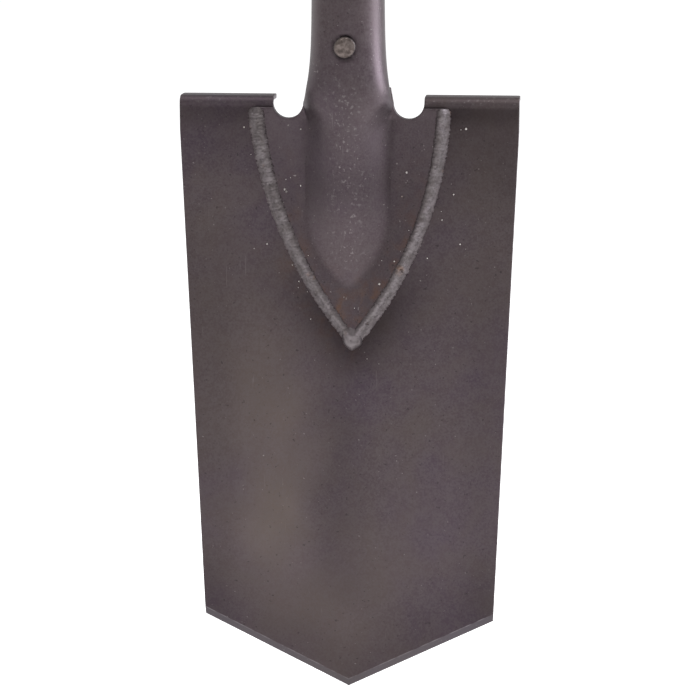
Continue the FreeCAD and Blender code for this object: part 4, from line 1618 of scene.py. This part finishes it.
@dataclass
class Handle:
    """Grips, caps and sleeve, and the finish of the plain tubes."""

    bar_radius: float = 15.05
    bar_half: float = 70.0
    grip_start: float = 18.0
    grip_radius: float = 18.3
    flange: float = 19.4
    ribs: int = 8
    sleeve_foot: float = 560.0
    sleeve_length: float = 130.0
    sleeve_radius: float = 16.7
    sleeve_ribs: int = 16

    shaft_radius: float = 13.5
    groove: float = 1.15

    def ribbed(
        self, bore: float, skin: float, low: float, high: float, ribs: int, rim: float
    ) -> list[Point]:
        """Draw the section of a ribbed sleeve.

        Args:
            bore: inner radius.
            skin: radius over the ribs.
            low: where it starts along its axis.
            high: where it ends.
            ribs: how many ribs it has.
            rim: radius of the rim at its high end.

        Returns:
            The closed profile.
        """
        profile: list[Point] = [(bore, low), (skin - 0.9, low), (skin, low + 2.4)]
        pitch = (high - low - 11.0) / ribs
        for i in range(ribs):
            z = low + 4.0 + i * pitch
            profile += [(skin, z), (skin - self.groove, z + pitch * 0.18)]
            profile += [(skin - self.groove, z + pitch * 0.42), (skin, z + pitch * 0.6)]
        profile += [(skin, high - 5.5), (rim, high - 3.8), (rim, high), (bore, high)]
        return rounded(profile, 0.6, 4)

    def turned(self, name: str, profile: list[Point], sides: int, sign: int = 0) -> Piece:
        """Turn a section into a soft part.

        Args:
            name: its name.
            profile: the section.
            sides: steps round it.
            sign: which way it points along the bar, or 0 for a part up the shaft.

        Returns:
            The part in its place.
        """
        rows, faces = lathe(profile, sides)
        if sign:
            rows = np.stack([rows[:, 2] * sign, rows[:, 0], rows[:, 1] + BAR_HEIGHT], axis=1)
        rows = rows + np.array([0.0, SHAFT_AXIS, 0.0])
        return Piece(name, rows, faces, {"rim": np.zeros(len(rows))}, 50.0)

    def grips(self, finishes: Finishes) -> None:
        """Make both hand grips and the caps in the bar's ends.

        Args:
            finishes: every material of the tool.
        """
        end = self.bar_half
        grip = self.ribbed(
            self.bar_radius, self.grip_radius, self.grip_start, end, self.ribs, self.flange
        )
        cap = rounded([
            (0.02, 60.0), (12.9, 60.0), (12.9, end), (18.1, end), (18.1, end + 1.6),
            (15.2, end + 3.8), (9.0, end + 4.0), (8.4, end + 3.4), (0.02, end + 3.4),
        ], 1.2, 5)
        for side, sign in (("left", -1), ("right", 1)):
            piece = self.turned("grip_%s_ribbed" % side, grip, 96, sign)
            piece.place(Finish.RUBBER, finishes.rubber, "grip_" + side)
            piece = self.turned("end_cap_%s" % side, cap, 72, sign)
            piece.place(Finish.PLUG, finishes.plastic, "end_plug_" + side)

    def sleeve(self, finishes: Finishes) -> None:
        """Make the ribbed sleeve on the shaft.

        Args:
            finishes: every material of the tool.
        """
        foot, skin = self.sleeve_foot, self.sleeve_radius
        profile = self.ribbed(
            self.shaft_radius, skin, foot, foot + self.sleeve_length, self.sleeve_ribs, skin
        )
        piece = self.turned("shaft_sleeve_ribbed", profile, 96)
        piece.place(Finish.RUBBER, finishes.rubber, "shaft_sleeve")

    def build(self, finishes: Finishes) -> None:
        """Make the soft parts and dress the CAD nodes that stay.

        Args:
            finishes: every material of the tool.
        """
        self.grips(finishes)
        self.sleeve(finishes)
        kept = {
            "shaft_tube": finishes.paint, "crossbar": finishes.paint, "rivet_washer": finishes.rivet,
            "spacer_bush": finishes.rivet, "shaft_plug": finishes.plastic,
        }
        for node, material in kept.items():
            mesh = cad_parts[node].data
            mesh.materials.clear()
            mesh.materials.append(material)
            LOG.info("%s: dressed in %s", node, material.name)


@dataclass
class Studio:
    """Pale floor, soft lights and the camera."""

    azimuth: float = 5.4
    elevation: float = 11.4
    distance: float = 1.10
    aim: Triple = (0.58, 0.0, 157.75)
    lens: float = 126.25
    sensor: float = 36.0
    air: float = 0.66
    floor_reach: float = 14.0
    floor_grey: Colour = (0.86, 0.86, 0.86)
    floor_far: Colour = (0.60, 0.60, 0.60)
    floor_glow: float = 0.76

    def floor(self) -> None:
        """Lay a wide pale floor that glows: a painted pool of light, brightest round the tool and dimmer
        far off, that also lights the tool from below.
        """
        mesh = bpy.data.meshes.new("studio_floor")
        reach = self.floor_reach
        corners = [(-reach, -reach, 0), (reach, -reach, 0), (reach, reach, 0), (-reach, reach, 0)]
        mesh.from_pydata(corners, [], [(0, 1, 2, 3)])
        floor = bpy.data.objects.new("studio_floor", mesh)
        bpy.context.scene.collection.objects.link(floor)
        material = bpy.data.materials.new("pale_floor")
        material.use_nodes = True
        tree = material.node_tree
        inputs = tree.nodes["Principled BSDF"].inputs
        far = node_at(tree, "ShaderNodeVectorMath", operation="LENGTH")
        tree.links.new(node_at(tree, "ShaderNodeTexCoord").outputs["Object"], far.inputs[0])
        # Painted pool of light: the floor glows brighter near the tool.
        near = band(tree, far.outputs["Value"], 0.75, 0.05)
        wire(tree, inputs["Base Color"], self.floor_grey)
        wire(tree, inputs["Roughness"], 0.9)
        wire(tree, inputs["Specular IOR Level"], 0.0)
        wire(tree, inputs["Emission Color"], blend_colour(tree, near, self.floor_far, WHITE))
        wire(tree, inputs["Emission Strength"], self.floor_glow)
        mesh.materials.append(material)

    def light(
        self, name: str, place: Triple, target: Triple, size: Point, power: float, tint: Colour = WHITE
    ) -> None:
        """Hang one soft rectangular light.

        Args:
            name: its name.
            place: where it hangs, in metres.
            target: the point that it faces.
            size: width and height in metres.
            power: watts.
            tint: colour of the light.
        """
        lamp = bpy.data.lights.new(name, "AREA")
        lamp.shape = "RECTANGLE"
        lamp.size, lamp.size_y = size
        lamp.energy = power
        lamp.color = tint
        obj = bpy.data.objects.new(name, lamp)
        obj.location = place
        obj.rotation_euler = (Vector(target) - Vector(place)).to_track_quat("-Z", "Y").to_euler()
        bpy.context.scene.collection.objects.link(obj)

    def camera(self) -> None:
        """Aim the camera at the blade from the front."""
        turn, lift = math.radians(self.azimuth), math.radians(self.elevation)
        back = Vector((
            math.sin(turn) * math.cos(lift),
            -math.cos(turn) * math.cos(lift),
            math.sin(lift),
        ))
        camera = bpy.data.cameras.new("front_camera")
        camera.lens = self.lens
        camera.sensor_width = self.sensor
        camera.clip_start, camera.clip_end = 0.05, 60.0
        obj = bpy.data.objects.new("front_camera", camera)
        obj.location = (Vector(self.aim) + Vector((0, PLANE_Y, 0))) * MM + back * self.distance
        obj.rotation_euler = (-back).to_track_quat("-Z", "Y").to_euler()
        bpy.context.scene.collection.objects.link(obj)
        bpy.context.scene.camera = obj

    def build(self) -> None:
        """Set the whole studio up."""
        self.floor()
        scene = bpy.context.scene
        scene.world = bpy.data.worlds.new("studio_air")
        scene.world.use_nodes = True
        air = scene.world.node_tree.nodes["Background"].inputs
        air["Color"].default_value = (*WHITE, 1.0)
        air["Strength"].default_value = self.air
        self.light("right_softbox", (1.9, 0.35, 0.9), (0, 0, 0.35), (0.95, 2.0), 60.0, (0.90, 0.93, 1.0))
        self.light("left_softbox", (-2.2, 0.9, 1.0), (0, 0, 0.3), (1.0, 2.2), 5.0)
        self.light("top_softbox", (0.1, -0.5, 2.6), (0, 0, 0.2), (2.0, 1.6), 22.0)
        self.camera()
        scene.view_settings.view_transform = "Standard"
        scene.view_settings.look = "None"


def main() -> None:
    """Build the tool's looks around the frame, then the studio."""
    logging.basicConfig(level=logging.INFO, format="%(name)s %(message)s")
    finishes = Finishes()
    BLADE.build(finishes)
    SOCKET.build(finishes)
    Welds().build(finishes)
    Fastening().build(finishes)
    Handle().build(finishes)
    Studio().build()


if __name__ == "__main__":
    main()
